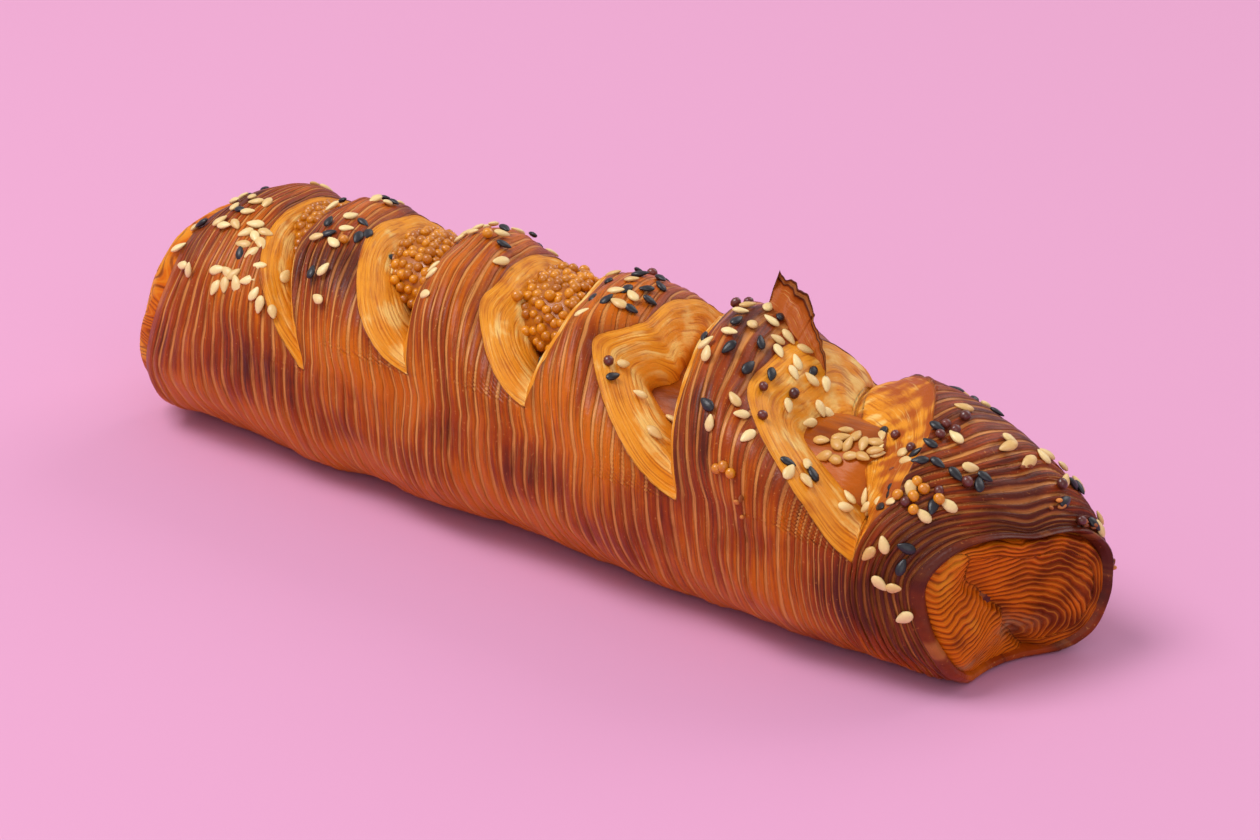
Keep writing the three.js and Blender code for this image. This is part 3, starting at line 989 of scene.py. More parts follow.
@dataclass
class Crust:
    """The slashed loaf of dough: its ridged crust and the layers its slits lay open."""

    form: LoafForm
    ridges: Ridges = Ridges()
    column_step: float = 0.29
    top_rows: float = 0.62
    side_rows: float = 1.55
    base_rows: float = 3.6
    flank_columns: int = 15
    lip_columns: int = 13
    hole_columns: int = 4
    top_to: float = 36.0
    side_to: float = 58.0
    rim_lift: float = 0.35
    rim_fade: float = 1.3
    far_cap: tuple = ((0.985, -0.9), (0.95, -0.6), (0.9, 0.6), (0.85, 1.2))
    near_cap: tuple = (
        (0.985, 1.0), (0.955, 1.5), (0.92, 1.2), (0.89, 0.2), (0.86, -1.2), (0.5, -1.6),
    )
    far_rings: int = 14
    near_rings: int = 26

    def rows(self) -> np.ndarray:
        """Spaces the rows, closer together on the top.

        Returns:
            The distance s of each row.
        """
        half = self.form.half_girth
        arcs = [0.0]
        while arcs[-1] < half - 0.5:
            last = arcs[-1]
            lower = self.side_rows if last < self.side_to else self.base_rows
            arcs.append(min(half, last + (self.top_rows if last < self.top_to else lower)))
        arcs = np.array(arcs) * half / arcs[-1]
        return np.concatenate([-arcs[:0:-1], arcs[:-1]])

    def across_slit(self, slit: Slit, s: np.ndarray) -> np.ndarray:
        """Spaces the columns inside a slit.

        Args:
            slit: The slit.
            s: Distances round the section from the ridge.

        Returns:
            The columns, as rows by columns.
        """
        left, right, width, _ = self.form.edges(slit, s)
        share = self.form.flank_share * width
        flank = np.minimum(slit.flank, share)[:, None]
        lip = np.minimum(slit.lip, share)[:, None]
        wall = self.form.hole_wall
        inner, outer = [
            np.concatenate([[0.03], np.linspace(0.09, 1.0, count), np.linspace(1.07, wall, 4)])
            for count in (self.flank_columns, self.lip_columns)
        ]
        from_left = left[:, None] + flank * inner
        from_right = right[:, None] - lip * outer[::-1]
        gap = np.linspace(0.0, 1.0, self.hole_columns + 2)[1:-1]
        middle = from_left[:, -1:] * (1.0 - gap) + from_right[:, :1] * gap
        return np.concatenate([from_left, middle, from_right], 1)

    def columns(self, s: np.ndarray) -> tuple:
        """Spaces all the columns, so that slits start and end on one.

        Args:
            s: Distances round the section from the ridge.

        Returns:
            Each row's columns, and which of them lie inside a slit.
        """
        form = self.form
        parts, cuts = [], []
        start = np.full_like(s, form.far_rim)
        for slit in (*form.slits, None):
            end = form.edges(slit, s)[0] if slit else np.full_like(s, form.near_rim)
            span = 0.5 * (np.max(end - start) + np.median(end - start))
            share = np.linspace(0.0, 1.0, int(round(span / self.column_step)) + 1)
            parts.append(start[:, None] * (1.0 - share) + end[:, None] * share)
            cuts.append(np.zeros(len(share)))
            if slit:
                inside = self.across_slit(slit, s)
                parts.append(inside)
                cuts.append(np.ones(inside.shape[1]))
                start = form.edges(slit, s)[1]
        return np.concatenate(parts, 1), np.concatenate(cuts)

    def beside_slits(self, column: np.ndarray, s: np.ndarray) -> np.ndarray:
        """Gives how close the crust is to a slit's edge.

        Args:
            column: Columns along the loaf.
            s: Distances round the section from the ridge.

        Returns:
            The closeness at each point, from 0 to 1.
        """
        close = np.zeros_like(column)
        for slit in self.form.slits:
            left, right, width, _ = self.form.edges(slit, s)
            away = np.maximum(0.0, np.maximum(left - column, column - right))
            close = np.maximum(close, np.where(width > 0.0, np.exp(-away / self.rim_fade), 0.0))
        return close

    def browning(self, column: np.ndarray, s: np.ndarray) -> np.ndarray:
        """Gives how dark the crust is baked.

        Args:
            column: Columns along the loaf.
            s: Distances round the section from the ridge.

        Returns:
            The browning at each point, from 0 to 1.
        """
        up = hump(s / 60.0)
        crust = 0.08 + 0.43 * up**0.8 + 0.22 * Ripple(12, 26.0)(column, s)
        crust = crust + 0.36 * smooth(70.0, 86.0, column) * np.maximum(up, 0.25) ** 0.3
        crust = crust + 0.12 * smooth(-70.0, -88.0, column) + 0.22 * smooth(22.0, 66.0, column)
        crust = crust - 0.24 * smooth(-30.0, -18.0, column) * smooth(34.0, 24.0, column) * hump(s / 38.0)
        return crust - 0.3 * smooth(40.0, 56.0, np.abs(s)) * smooth(86.0, 78.0, column)

    def inside(
        self, column: np.ndarray, s: np.ndarray, marks: dict, relief: np.ndarray
    ) -> np.ndarray:
        """Marks the layers in the slits, with painted shade deep in them, and adds their relief to that of
        the ridges.

        Args:
            column: Column of each point.
            s: Distance round the section of each point.
            marks: The attributes, which are changed within the slits. The region is first
                1 on all the slits' columns, and then only where a slit is open.
            relief: How far the ridges stand out.

        Returns:
            How far the ridges and the layers stand out.
        """
        form = self.form
        of_slits = marks["region"] > 0.5
        marks["region"] = np.full_like(column, Region.CRUST.value)
        for slit in form.slits:
            left, right, width, _ = form.edges(slit, s)
            inside = of_slits & (column >= left) & (column <= right) & (width > 0.0)
            marks["region"] = np.where(inside, Region.CUT.value, marks["region"])
            wide = np.maximum(width, 0.1)
            flank = np.minimum(slit.flank, form.flank_share * wide)
            lip = np.minimum(slit.lip, form.flank_share * wide)
            share = np.minimum((column - left) / flank, (right - column) / lip)
            is_left = (column - left) / flank < (right - column) / lip
            across = np.where(is_left, column - left, 60.0 - (right - column))
            marks["layer"] = np.where(inside, across, marks["layer"])
            golden = 0.3 + 0.25 * np.exp(-share * 5.0) + 0.18 * Ripple(21, 9.0)(column, s)
            golden = golden - 0.22 * hump((share - 0.95) / 0.35) - np.where(is_left, 0.0, 0.14)
            # Painted shade: deep in the slit, past the flanks' rounded walls, the colour is darkened towards
            # rust.
            golden = golden + 0.8 * smooth(1.05, 1.3, share)
            crisp = 0.58 + 0.25 * Ripple(24, 5.0)(column, s)
            golden = golden + np.where(is_left | (slit.curl == 0.0), 0.0, crisp)
            marks["bake_and_shade"] = np.where(inside, golden, marks["bake_and_shade"])
            steps = 0.16 * np.sin(across * 5.6 + 2.2 * Ripple(23, 14.0)(column, s))
            steps = (steps + 0.1 * Ripple(22, 1.5, 9.0)(across, s)) * hump((share - 0.5) / 0.6)
            puff = 0.5 * hump((share - 0.45) / 0.5) * np.minimum(1.0, wide / 8.0)
            relief = np.where(inside, steps + puff, relief)
        return relief

    def build(self) -> bpy.types.Object:
        """Makes the piece that stands for the dough.

        Returns:
            The piece.
        """
        form = self.form
        rows = self.rows()
        column, in_slit = self.columns(rows)
        s = np.broadcast_to(rows[:, None], column.shape)
        phase = self.ridges.phase(column, s)
        marks = {"ridge": phase, "bake_and_shade": self.browning(column, s), "layer": np.zeros_like(column)}
        marks.update(region=np.broadcast_to(in_slit, column.shape), girth=s)
        marks["edge"] = self.beside_slits(column, s)
        outer = self.ridges.relief(column, s, phase) + self.rim_lift * marks["edge"]
        relief = self.inside(column, s, marks, outer)
        uneven = 0.5 * Ripple(5, 38.0)(column, s) + 0.22 * Ripple(6, 13.0)(column, s)
        points = form.skin(column, s, relief + uneven)
        far = self.cap(points[:, 0], self.far_cap, self.far_rings)
        near = self.cap(points[:, -1], self.near_cap, self.near_rings)
        for key, values in marks.items():
            left = np.repeat(values[:, :1], far.shape[1], 1)
            right = np.repeat(values[:, -1:], near.shape[1], 1)
            marks[key] = np.concatenate([left, values, right], 1)
        skin = Skin("pastry_crust", np.concatenate([far[:, ::-1], points, near], 1), marks)
        piece = place("pastry_crust", skin.close(), BakedDough().crust_material())
        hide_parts("pastry")
        return piece

    def cap(self, rim: np.ndarray, profile: tuple, count: int) -> np.ndarray:
        """Returns rings that close an end from its rim to its middle.

        Args:
            rim: Points round the end.
            profile: Rings as their share of the rim and how far out they stand.
            count: How many rings are made.

        Returns:
            The rings, as rows by rings by 3.
        """
        shares = [1.0] + [share for share, _ in profile] + [0.0]
        outs = [0.0] + [out for _, out in profile] + [profile[-1][1]]
        share = np.concatenate([np.linspace(1.0, 0.84, count - 3)[1:], np.linspace(0.84, 0.0, 5)[1:]])
        out = np.interp(-share, -np.array(shares), outs)
        centre = rim.mean(0)
        rings = centre + (rim[:, None, :] - centre) * share[None, :, None]
        rings[:, :, 0] += out[None, :]
        rings[:, :, 2] = np.maximum(rings[:, :, 2], 0.0)
        return rings


@dataclass
class DoughEnd:
    """The dough at one end of the loaf, as rings from inside the crust's rim to its middle."""

    form: LoafForm
    around: int
    rings: int
    share: float
    lowest: float = 0.35

    def lay_rings(self, column: float, share: np.ndarray) -> tuple:
        """Draws the outline of the rim in towards its middle.

        Args:
            column: Column of the rim.
            share: Size of each ring as a share of the rim, the widest first.

        Returns:
            The rings' points, how far each is inside the widest ring, and the middle's x.
        """
        half = self.form.half_girth
        s = np.linspace(-half, half, self.around + 1)[:-1]
        rim = self.form.skin(np.full_like(s, column), s, np.zeros_like(s))
        centre = rim.mean(0)
        points = centre + (rim[:, None, :] - centre) * share[None, :, None]
        reach = np.hypot(*(rim - centre)[:, 1:].T)
        return points, (1.0 - share / self.share)[None, :] * reach[:, None], centre[0]

    def wrap(self, name: str, points: np.ndarray, marks: dict, inner: float) -> bpy.types.Object:
        """Closes the rings with a back inside the loaf, and adds the piece.

        Args:
            name: Name of the piece.
            points: The rings, the widest first.
            marks: Attribute values by name, as rows by rings.
            inner: Place of the back along the loaf.

        Returns:
            The piece.
        """
        points[:, -1] = points[:, -1].mean(0)
        points[:, :, 2] = np.maximum(points[:, :, 2], self.lowest)
        y, z = points[:, 0, 1], points[:, 0, 2]
        back = np.stack([inner + 0 * y, y * 0.9, z * 0.8 + 1.5], -1)
        middle = np.repeat(back.mean(0)[None, None], len(y), 0)
        for key, values in marks.items():
            marks[key] = np.concatenate([values[:, :1], values[:, :1], values], 1)
        skin = Skin(name, np.concatenate([middle, back[:, None], points], 1), marks)
        return place(name, skin.close(), BakedDough().end_material())


@dataclass
class NearEnd(DoughEnd):
    """The open end face, where two rolled lobes of dough show their layers."""

    around: int = 300
    rings: int = 84
    share: float = 0.97
    crease: tuple = (-8.0, 20.0, 2.0, 7.0)
    chevron: tuple = (-15.0, 4.0)
    core: tuple = (0.5, 5.5)
    hole: tuple = (-14.0, 25.5, 1.5)
    lobes: tuple = (
        (2.6, (-14.0, 12.5), (7.5, 8.5)),
        (1.5, (10.0, 11.0), (8.0, 7.0)),
        (1.2, (-2.0, 25.0), (12.0, 3.5)),
    )

    def relief(self, y: np.ndarray, z: np.ndarray, depth: np.ndarray) -> tuple:
        """Shapes and shades the two lobes.

        Args:
            y: Place across of each point.
            z: Height of each point.
            depth: How far each point is inside the rim.

        Returns:
            The relief, the count of layers, the browning with painted shade in the crease, the hole and on
            the right side, and the flour.
        """
        y0, z0, y1, z1 = self.crease
        length = math.hypot(y1 - y0, z1 - z0)
        beside = ((y - y0) * (z1 - z0) - (z - z0) * (y1 - y0)) / length
        beside = beside + 0.8 * Ripple(43, 9.0)(y, z)
        along = ((y - y0) * (y1 - y0) + (z - z0) * (z1 - z0)) / length
        on_crease = smooth(-7.0, 1.0, along)
        left_lobe = smooth(-1.2, 1.2, beside) * smooth(28.0, 23.0, z + 0.16 * (y + 8.0))
        valley_y, spread = self.chevron
        wavy = 0.5 * Ripple(41, 9.0)(y, z) + 0.1 * Ripple(42, 2.6)(y, z)
        slope = np.where(y < valley_y, 0.62, 0.46)
        chevron = (z - slope * (np.sqrt((y - valley_y) ** 2 + spread) - 2.0) + wavy) / 1.05
        core_y, core_z = self.core
        round_core = np.hypot((y - core_y) * 0.8, z - core_z)
        shell = np.where(depth < 4.2, depth, 30.0 - round_core) + 0.7 * wavy
        layer = np.where(left_lobe > 0.5, chevron + 60.0, shell)
        ripple = 0.34 * np.abs(np.sin(math.pi * layer)) ** 0.7
        lobes = sum(high * mound(y, z, at, reach) for high, at, reach in self.lobes)
        valley = np.exp(-((beside / 1.5) ** 2)) * on_crease
        hole_y, hole_z, hole_r = self.hole
        pit = mound(y, z, (hole_y, hole_z), (1.9 * hole_r, hole_r))
        out = lobes + ripple * smooth(0.0, 1.5, depth) - 1.5 * valley - 2.4 * pit
        # Painted shade: darker in the crease between the lobes, in the hole, and on the right side of the
        # face, away from the key light; the darker rim and the ripples are browning.
        dark = 0.45 + 0.25 * valley + 0.5 * pit + 0.3 * smooth(-4.0, 6.0, y) * (1.0 - left_lobe)
        dark = dark - 0.35 * mound(y, z, (-11.5, 22.5), (3.5, 2.5))
        dark = dark + 0.14 * Ripple(44, 8.0)(y, z) + 0.25 * smooth(2.0, 0.0, depth)
        flour = mound(y, z, (1.0, 7.6), (4.0, 2.0))
        flour = np.maximum(flour, 0.8 * mound(y, z, (-11.0, 4.6), (5.0, 1.3)))
        return out, layer, dark, flour

    def build(self) -> bpy.types.Object:
        """Makes the dough that shows in the near end.

        Returns:
            The piece.
        """
        share = self.share * np.linspace(1.0, 0.0, self.rings) ** 0.92
        points, depth, middle = self.lay_rings(self.form.near_rim, share)
        out, layer, dark, flour = self.relief(points[:, :, 1], points[:, :, 2], depth)
        points[:, :, 0] += out * smooth(0.0, 2.5, depth) - 1.2 * smooth(1.6, 0.0, depth)
        marks = {"layer": layer, "bake_and_shade": dark, "flour": flour}
        return self.wrap("near_end_dough", points, marks, middle - 6.0)


@dataclass
class FarEnd(DoughEnd):
    """The soft dough that bulges out of the wrap at the far end."""

    around: int = 220
    rings: int = 60
    share: float = 0.95
    bulge: float = 7.6

    def build(self) -> bpy.types.Object:
        """Makes the dough that shows in the far end.

        Returns:
            The piece.
        """
        share = self.share * (1.0 - (1.0 - np.linspace(1.0, 0.0, self.rings)) ** 1.6)
        points, depth, middle = self.lay_rings(self.form.far_rim, share)
        y, z = points[:, :, 1], points[:, :, 2]
        dome = np.sqrt(1.0 - (share / self.share) ** 9)[None, :]
        layer = (depth + 1.3 * Ripple(51, 9.0)(y, z)) / 1.1
        out = self.bulge * dome + 0.7 * Ripple(52, 14.0)(y, z) * dome
        out = out + 0.25 * np.abs(np.sin(math.pi * layer)) - 1.6 * smooth(1.0, 0.0, depth)
        dark = 0.05 + 0.2 * Ripple(53, 9.0)(y, z) + 0.3 * smooth(1.5, 0.0, depth)
        points[:, :, 0] -= out
        marks = {"layer": layer, "bake_and_shade": dark, "flour": 0.0 * dark}
        return self.wrap("far_end_dough", points, marks, middle + 6.0)


# ---------------------------------------------------------------- the filling


@dataclass
class Sausage:
    """The sausage that runs through the dough."""

    radius: float = 12.4
    height: float = CORE_HEIGHT
    start: float = -80.0
    end: float = 70.0
    corner: float = 9.0

    def build(self) -> bpy.types.Object:
        """Makes the piece that stands for the sausage.

        Returns:
            The piece.
        """
        turn = np.linspace(0.0, 0.5 * math.pi, 14)
        nose = self.radius - self.corner + self.corner * np.sin(turn)
        first = self.start + self.corner * (1.0 - np.cos(turn))
        x = np.concatenate([[self.start], first, np.linspace(first[-1], self.end - self.corner, 160)[1:-1]])
        radius = np.concatenate([[0.0], nose, np.full(158, self.radius)])
        x = np.concatenate([x, self.end - self.corner * (1.0 - np.cos(turn[::-1])), [self.end]])
        radius = np.concatenate([radius, nose[::-1], [0.0]])
        around = np.linspace(0.0, 2.0 * math.pi, 73)[:-1][:, None]
        wave = 1.0 + 0.012 * Ripple(31, 30.0, 0.1)(x[None, :], around * 10.0)
        reach = radius[None, :] * wave
        points = np.stack(
            [x[None, :] + 0 * reach, -reach * np.sin(around), self.height - reach * np.cos(around)], -1
        )
        mesh = Skin("sausage_link", points, {}).close()
        piece = place("sausage_link", mesh, MoistSkin().material())
        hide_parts("sausage")
        return piece


@dataclass(frozen=True)
class Heap:
    """A place where the mustard wells up."""

    at: float
    reach: float
    height: float


@dataclass
class Mustard:
    """Wholegrain mustard: a soft core with grains all over it."""

    start: float = -78.5
    end: float = 5.0
    bore: float = 12.85
    height: float = CORE_HEIGHT
    half_angle: float = 0.88
    turned: float = 0.26
    slant: float = 8.5
    thin: float = 1.9
    grain: float = 1.0
    spacing: float = 1.75
    seed: int = 5
    heaps: tuple = (Heap(-68.0, 5.0, 7.6), Heap(-41.0, 7.0, 8.8), Heap(-8.5, 8.0, 9.4))

    def thickness(self, x: np.ndarray, turn: np.ndarray) -> np.ndarray:
        """Gives how thick the mustard lies over the sausage.

        Args:
            x: Places along the loaf.
            turn: Angles round the sausage from the heap's middle.

        Returns:
            The thickness at each point.
        """
        thick = np.full(np.broadcast(x, turn).shape, self.thin)
        across = np.maximum(0.0, 1.0 - np.abs(turn / self.half_angle) ** 3)
        for heap in self.heaps:
            along = (x - heap.at + self.slant * (turn + self.turned)) / heap.reach
            swell = np.exp(-(along**4)) * across
            thick = np.maximum(thick, self.thin + (heap.height - self.thin) * swell)
        ends = smooth(self.start, self.start + 4.0, x) * (1.0 - smooth(self.end - 4.0, self.end, x))
        return np.maximum(0.7, thick * ends)

    def at_turn(self, x: np.ndarray, radius: np.ndarray, turn: np.ndarray) -> np.ndarray:
        """Returns points round the sausage's axis."""
        angle = turn + self.turned
        return np.stack([x, radius * np.sin(angle), self.height + radius * np.cos(angle)], -1)

    def core(self) -> bpy.types.Mesh:
        """Makes the soft core under the grains.

        Returns:
            Its mesh.
        """
        x = np.linspace(self.start, self.end, 110)[None, :]
        over = np.linspace(-1.0, 1.0, 25)[:, None] * self.half_angle
        under = over[::-1][1:-1:3]
        outer = self.bore + self.thickness(x, over) - 0.5
        top = self.at_turn(x + 0 * outer, outer, over + 0 * outer)
        inner = np.full((len(under), x.shape[1]), self.bore)
        bottom = self.at_turn(x + 0 * inner, inner, under + 0 * inner)
        points = np.concatenate([top, bottom], 0)
        for side in (0, -1):
            points[:, side] = points[:, side].mean(0)
        return Skin("mustard_core", points, {"tint": np.full(points.shape[:2], 0.75)}).close()

    def grains(self) -> bpy.types.Mesh:
        """Makes the grains that cover the core.

        Returns:
            Their mesh.
        """
        rng = np.random.default_rng(self.seed)
        spots = []
        rows = int(2 * self.half_angle * 19.0 / self.spacing)
        for i in range(int((self.end - self.start) / self.spacing)):
            for j in range(rows):
                x = self.start + self.spacing * (i + 0.5 * (j % 2)) + rng.normal(0.0, 0.22)
                turn = self.half_angle * (2.0 * (j + 0.5) / rows - 1.0) + rng.normal(0.0, 0.012)
                thick = float(self.thickness(np.array(x), np.array(turn)))
                radius = self.bore + thick - 0.55 + rng.normal(0.0, 0.3)
                spots.append(Vector(self.at_turn(np.array(x), np.array(radius), np.array(turn))))
        beads = Scatter("mustard_grains")
        for spot in spots:
            size = self.grain * rng.uniform(0.82, 1.12)
            shape = (size, size * rng.uniform(0.9, 1.0), size * rng.uniform(0.85, 1.0))
            beads.add(Matrix.LocRotScale(spot, spin(rng), Vector(shape)), float(rng.uniform(0.0, 0.7)))
        return beads.mesh(SeedShape.BEAD)

    def build(self) -> None:
        """Makes the two pieces that stand for the mustard."""
        finish = Grain("mustard_grain", tone(222, 142, 6), tone(146, 66, 0), 0.3, 0.2, 0.2)
        material = finish.material()
        core = place("mustard_core", self.core(), material)
        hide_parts("mustard")
        place("mustard_grains", self.grains(), material)


# ---------------------------------------------------------------- seeds


class SeedShape(Enum):
    """What one seed is like: sides round, rings along, and how pointed it is."""

    SESAME = (10, 7, 0.34)
    BEAD = (10, 7, 0.0)


def spin(rng: np.random.Generator) -> Matrix:
    """Returns a random turn."""
    axis = Vector(rng.normal(size=3)).normalized()
    return Matrix.Rotation(float(rng.uniform(0.0, 2.0 * math.pi)), 3, axis).to_quaternion()


class Scatter:
    """Many copies of one small seed, joined in one mesh."""

    def __init__(self, name: str) -> None:
        """Starts with no seeds.

        Args:
            name: Name of the piece.
        """
        self.name = name
        self.places: list = []
        self.tints: list = []

    def add(self, where: Matrix, tint: float) -> None:
        """Adds one seed, given its place in mm and its tint from 0 to 1."""
        self.places.append(where)
        self.tints.append(tint)

    def one(self, shape: SeedShape) -> tuple:
        """Shapes one seed of unit size.

        Args:
            shape: What the seed is like.

        Returns:
            Its points and its faces.
        """
        sides, rings, point = shape.value
        seed = bmesh.new()
        bmesh.ops.create_uvsphere(seed, u_segments=sides, v_segments=rings, radius=1.0)
        for vert in seed.verts:
            x, y, z = vert.co.z, vert.co.y, vert.co.x
            narrow = 1.0 - point * (x + 0.2) if x > -0.2 else 1.0
            vert.co = Vector((x, y * narrow, z * narrow))
        bmesh.ops.recalc_face_normals(seed, faces=seed.faces[:])
        points = np.array([vert.co[:] for vert in seed.verts])
        faces = [[vert.index for vert in face.verts] for face in seed.faces]
        seed.free()
        return points, faces

    def mesh(self, shape: SeedShape) -> bpy.types.Mesh:
        """Joins the seeds.

        Args:
            shape: What each seed is like.

        Returns:
            The mesh, with each seed's tint as an attribute.
        """
        points, faces = self.one(shape)
        count = len(points)
        turns = np.array([np.array(where)[:3] for where in self.places])
        placed = np.einsum("sij,pj->spi", turns[:, :, :3], points) + turns[:, None, :, 3]
        starts = range(0, count * len(self.places), count)
        joined = [[start + index for index in face] for start in starts for face in faces]
        mesh = bpy.data.meshes.new(self.name)
        mesh.from_pydata((placed.reshape(-1, 3) * MM).tolist(), [], joined)
        mesh.attributes.new("tint", "FLOAT", "POINT")
        mesh.attributes["tint"].data.foreach_set("value", np.repeat(self.tints, count))
        mesh.shade_smooth()
        return mesh


@dataclass(frozen=True)
class Patch:
    """A patch of seeds: its middle column and s, its spread, how many of each kind."""

    column: float
    s: float
    spread: float
    spread_s: float
    white: int
    black: int = 0
    brown: int = 0
    beads: int = 0


@dataclass(frozen=True)
class SeedKind:
    """One kind of seed: its piece, its half lengths in mm, and what it is like."""

    piece: str
    size: tuple
    shape: SeedShape
    slot: Slot
    finish: Grain


@dataclass(frozen=True)
class Dropped:
    """The seeds on the sausage: their middle and spread in x and turn, and how many."""

    x: float = 60.0
    spread: float = 5.5
    turn: float = -0.45
    spread_turn: float = 0.32
    count: int = 13
    radius: float = 12.1


@dataclass
class Seeds:
    """Sesame and mustard seeds stuck on the crust."""

    form: LoafForm
    kinds: tuple = (
        SeedKind(
            "white_sesame", (1.62, 1.02, 0.52), SeedShape.SESAME, Slot.WHITE_SESAME,
            Grain("white_sesame", tone(240, 218, 156), tone(202, 148, 66), 0.42, 0.1),
        ),
        SeedKind(
            "black_sesame", (1.58, 0.95, 0.52), SeedShape.SESAME, Slot.BLACK_SESAME,
            Grain("black_sesame", tone(30, 30, 38), tone(12, 13, 18), 0.42, 0.1),
        ),
        SeedKind(
            "brown_mustard_seeds", (0.95, 0.9, 0.85), SeedShape.BEAD, Slot.BROWN_SEED,
            Grain("brown_mustard_seed", tone(112, 48, 38), tone(62, 24, 22), 0.3, 0.2),
        ),
        SeedKind(
            "loose_mustard_grains", (1.0, 0.96, 0.92), SeedShape.BEAD, Slot.MUSTARD,
            Grain("loose_mustard_grain", tone(226, 150, 24), tone(176, 84, 8), 0.28, 0.25),
        ),
    )
    apart: float = 2.3
    tries: int = 14
    seed: int = 23
    dropped: Dropped = Dropped()
    patches: tuple = (
        (-86, -12, 1.8, 6.8, 2, 1), (-82, 1, 4.8, 5.6, 2, 2), (-78, -22, 3.9, 0.9, 2),
        (-74, -8, 4.6, 6.5, 8, 1), (-68, -23, 4.1, 2.1, 6), (-66, -14, 3.0, 4.2, 7, 1),
        (-58, -22, 5.5, 4.8, 7), (-53, 4, 0.7, 4.4, 1, 1), (-46, -10, 3.7, 1.8, 2, 1, 0, 1),
        (-45, -19, 3.0, 3.0, 2, 1), (-44, 6, 2.6, 6.6, 2, 1), (-44, -5, 4.4, 3.1, 2, 4),
        (-33, -7, 3.1, 3.9, 1, 1, 0, 2), (-25, -16, 1.2, 0.9, 2), (-20, 11, 3.8, 4.1, 4),
        (-19, 3, 2.8, 3.1, 3), (-19, -10, 4.0, 5.6, 3), (-11, 1, 3.5, 6.2, 2, 2, 0, 1),
        (-2, -7, 2.0, 5.6, 0, 1, 0, 1), (4, -19, 0.5, 0.5, 0, 1), (15, -8, 3.9, 4.9, 1, 2),
        (16, 5, 4.2, 6.1, 2, 2), (21, -4, 2.8, 3.6, 3, 2), (23, 3, 3.8, 5.2, 0, 4),
        (25, -15, 4.3, 6.1, 2, 1, 1), (32, -23, 3.9, 7.5, 3, 1), (41, 11, 0.5, 5.0, 0, 0, 2),
        (44, -8, 4.3, 3.7, 3, 3), (46, 1, 3.1, 5.6, 6, 3), (49, -18, 5.4, 3.7, 4, 1, 1),
        (50, -26, 1.8, 0.8, 0, 0, 0, 3), (51, 2, 3.3, 4.4, 9, 1), (51, -8, 2.9, 2.7, 2, 1, 2),
        (60, -8, 2.8, 2.3, 10), (60, -1, 2.5, 3.1, 1, 2, 2), (60, -22, 3.1, 2.8, 6, 2),
        (64, 18, 2.8, 1.1, 2, 3), (66, -24, 3.9, 3.3, 6, 0, 1), (69, -1, 1.9, 2.0, 1, 1, 3),
        (70, 7, 6.1, 4.0, 4, 0, 1), (70, -8, 3.9, 3.1, 2, 4, 1), (72, -19, 3.4, 3.0, 3, 3),
        (76, -5, 2.8, 2.5, 1, 3, 1), (77, -15, 3.0, 4.1, 3, 1, 2, 6), (81, -26, 4.2, 4.4, 2, 2),
        (83, -34, 2.6, 4.4, 3),
    )
    behind: tuple = (
        (-76, 20, 6, 8, 9, 4), (-46, 20, 5, 7, 4, 5), (-14, 22, 6, 7, 6, 3), (18, 22, 6, 7, 4, 5, 1),
        (44, 24, 6, 7, 8, 4, 2), (78, 18, 6, 9, 7, 4, 2),
    )

    def lay(self, rng: np.random.Generator, under: tuple, size: tuple) -> Matrix:
        """Lays a seed down.

        Args:
            rng: The source of random numbers.
            under: The point that it lies on, the direction along and the outward one.
            size: Its three half lengths.

        Returns:
            Its place, turn and size.
        """
        point, along, out = under
        turn = Matrix.Rotation(float(rng.uniform(0.0, 2.0 * math.pi)), 3, out)
        tilt = Matrix.Rotation(float(rng.normal(0.0, 0.2)), 3, along)
        long = (tilt @ turn @ along).normalized()
        face = (out - out.dot(long) * long).normalized()
        basis = Matrix((long, face.cross(long), face)).transposed()
        lifted = point + out * (0.55 * size[2] + 0.35)
        grown = Vector(size) * float(rng.uniform(0.88, 1.1))
        return Matrix.LocRotScale(lifted, basis.to_quaternion(), grown)

    def draw(self, rng: np.random.Generator, patch: Patch, taken: list) -> tuple:
        """Finds a place in a patch, as clear of the seeds already there as it can be.

        Args:
            rng: The source of random numbers.
            patch: The patch.
            taken: Places that are taken, to which the new one is added.

        Returns:
            Its column and s.
        """
        best, room = (patch.column, patch.s), -1.0
        for _ in range(self.tries):
            turn, reach = rng.uniform(0.0, 2.0 * math.pi), math.sqrt(rng.uniform())
            column = patch.column + patch.spread * reach * math.cos(turn)
            spot = (column, patch.s + patch.spread_s * reach * math.sin(turn))
            clear = min((math.dist(spot, other) for other in taken), default=self.apart)
            if clear > room:
                best, room = spot, clear
            if room >= self.apart:
                break
        taken.append(best)
        return best

    def on_sausage(self, rng: np.random.Generator) -> list:
        """Finds where the seeds lie that have dropped through the widest slit.

        Args:
            rng: The source of random numbers.

        Returns:
            For each the point, the direction along and the outward one.
        """
        drop, radius = self.dropped, Sausage.radius
        patch = Patch(drop.x, radius * drop.turn, drop.spread, radius * drop.spread_turn, drop.count)
        spots, taken = [], []
        for _ in range(drop.count):
            x, arc = self.draw(rng, patch, taken)
            out = Vector((0.0, math.sin(arc / radius), math.cos(arc / radius)))
            point = Vector((x, 0.0, CORE_HEIGHT)) + out * drop.radius
            spots.append((point, Vector((1.0, 0.0, 0.0)), out))
        return spots

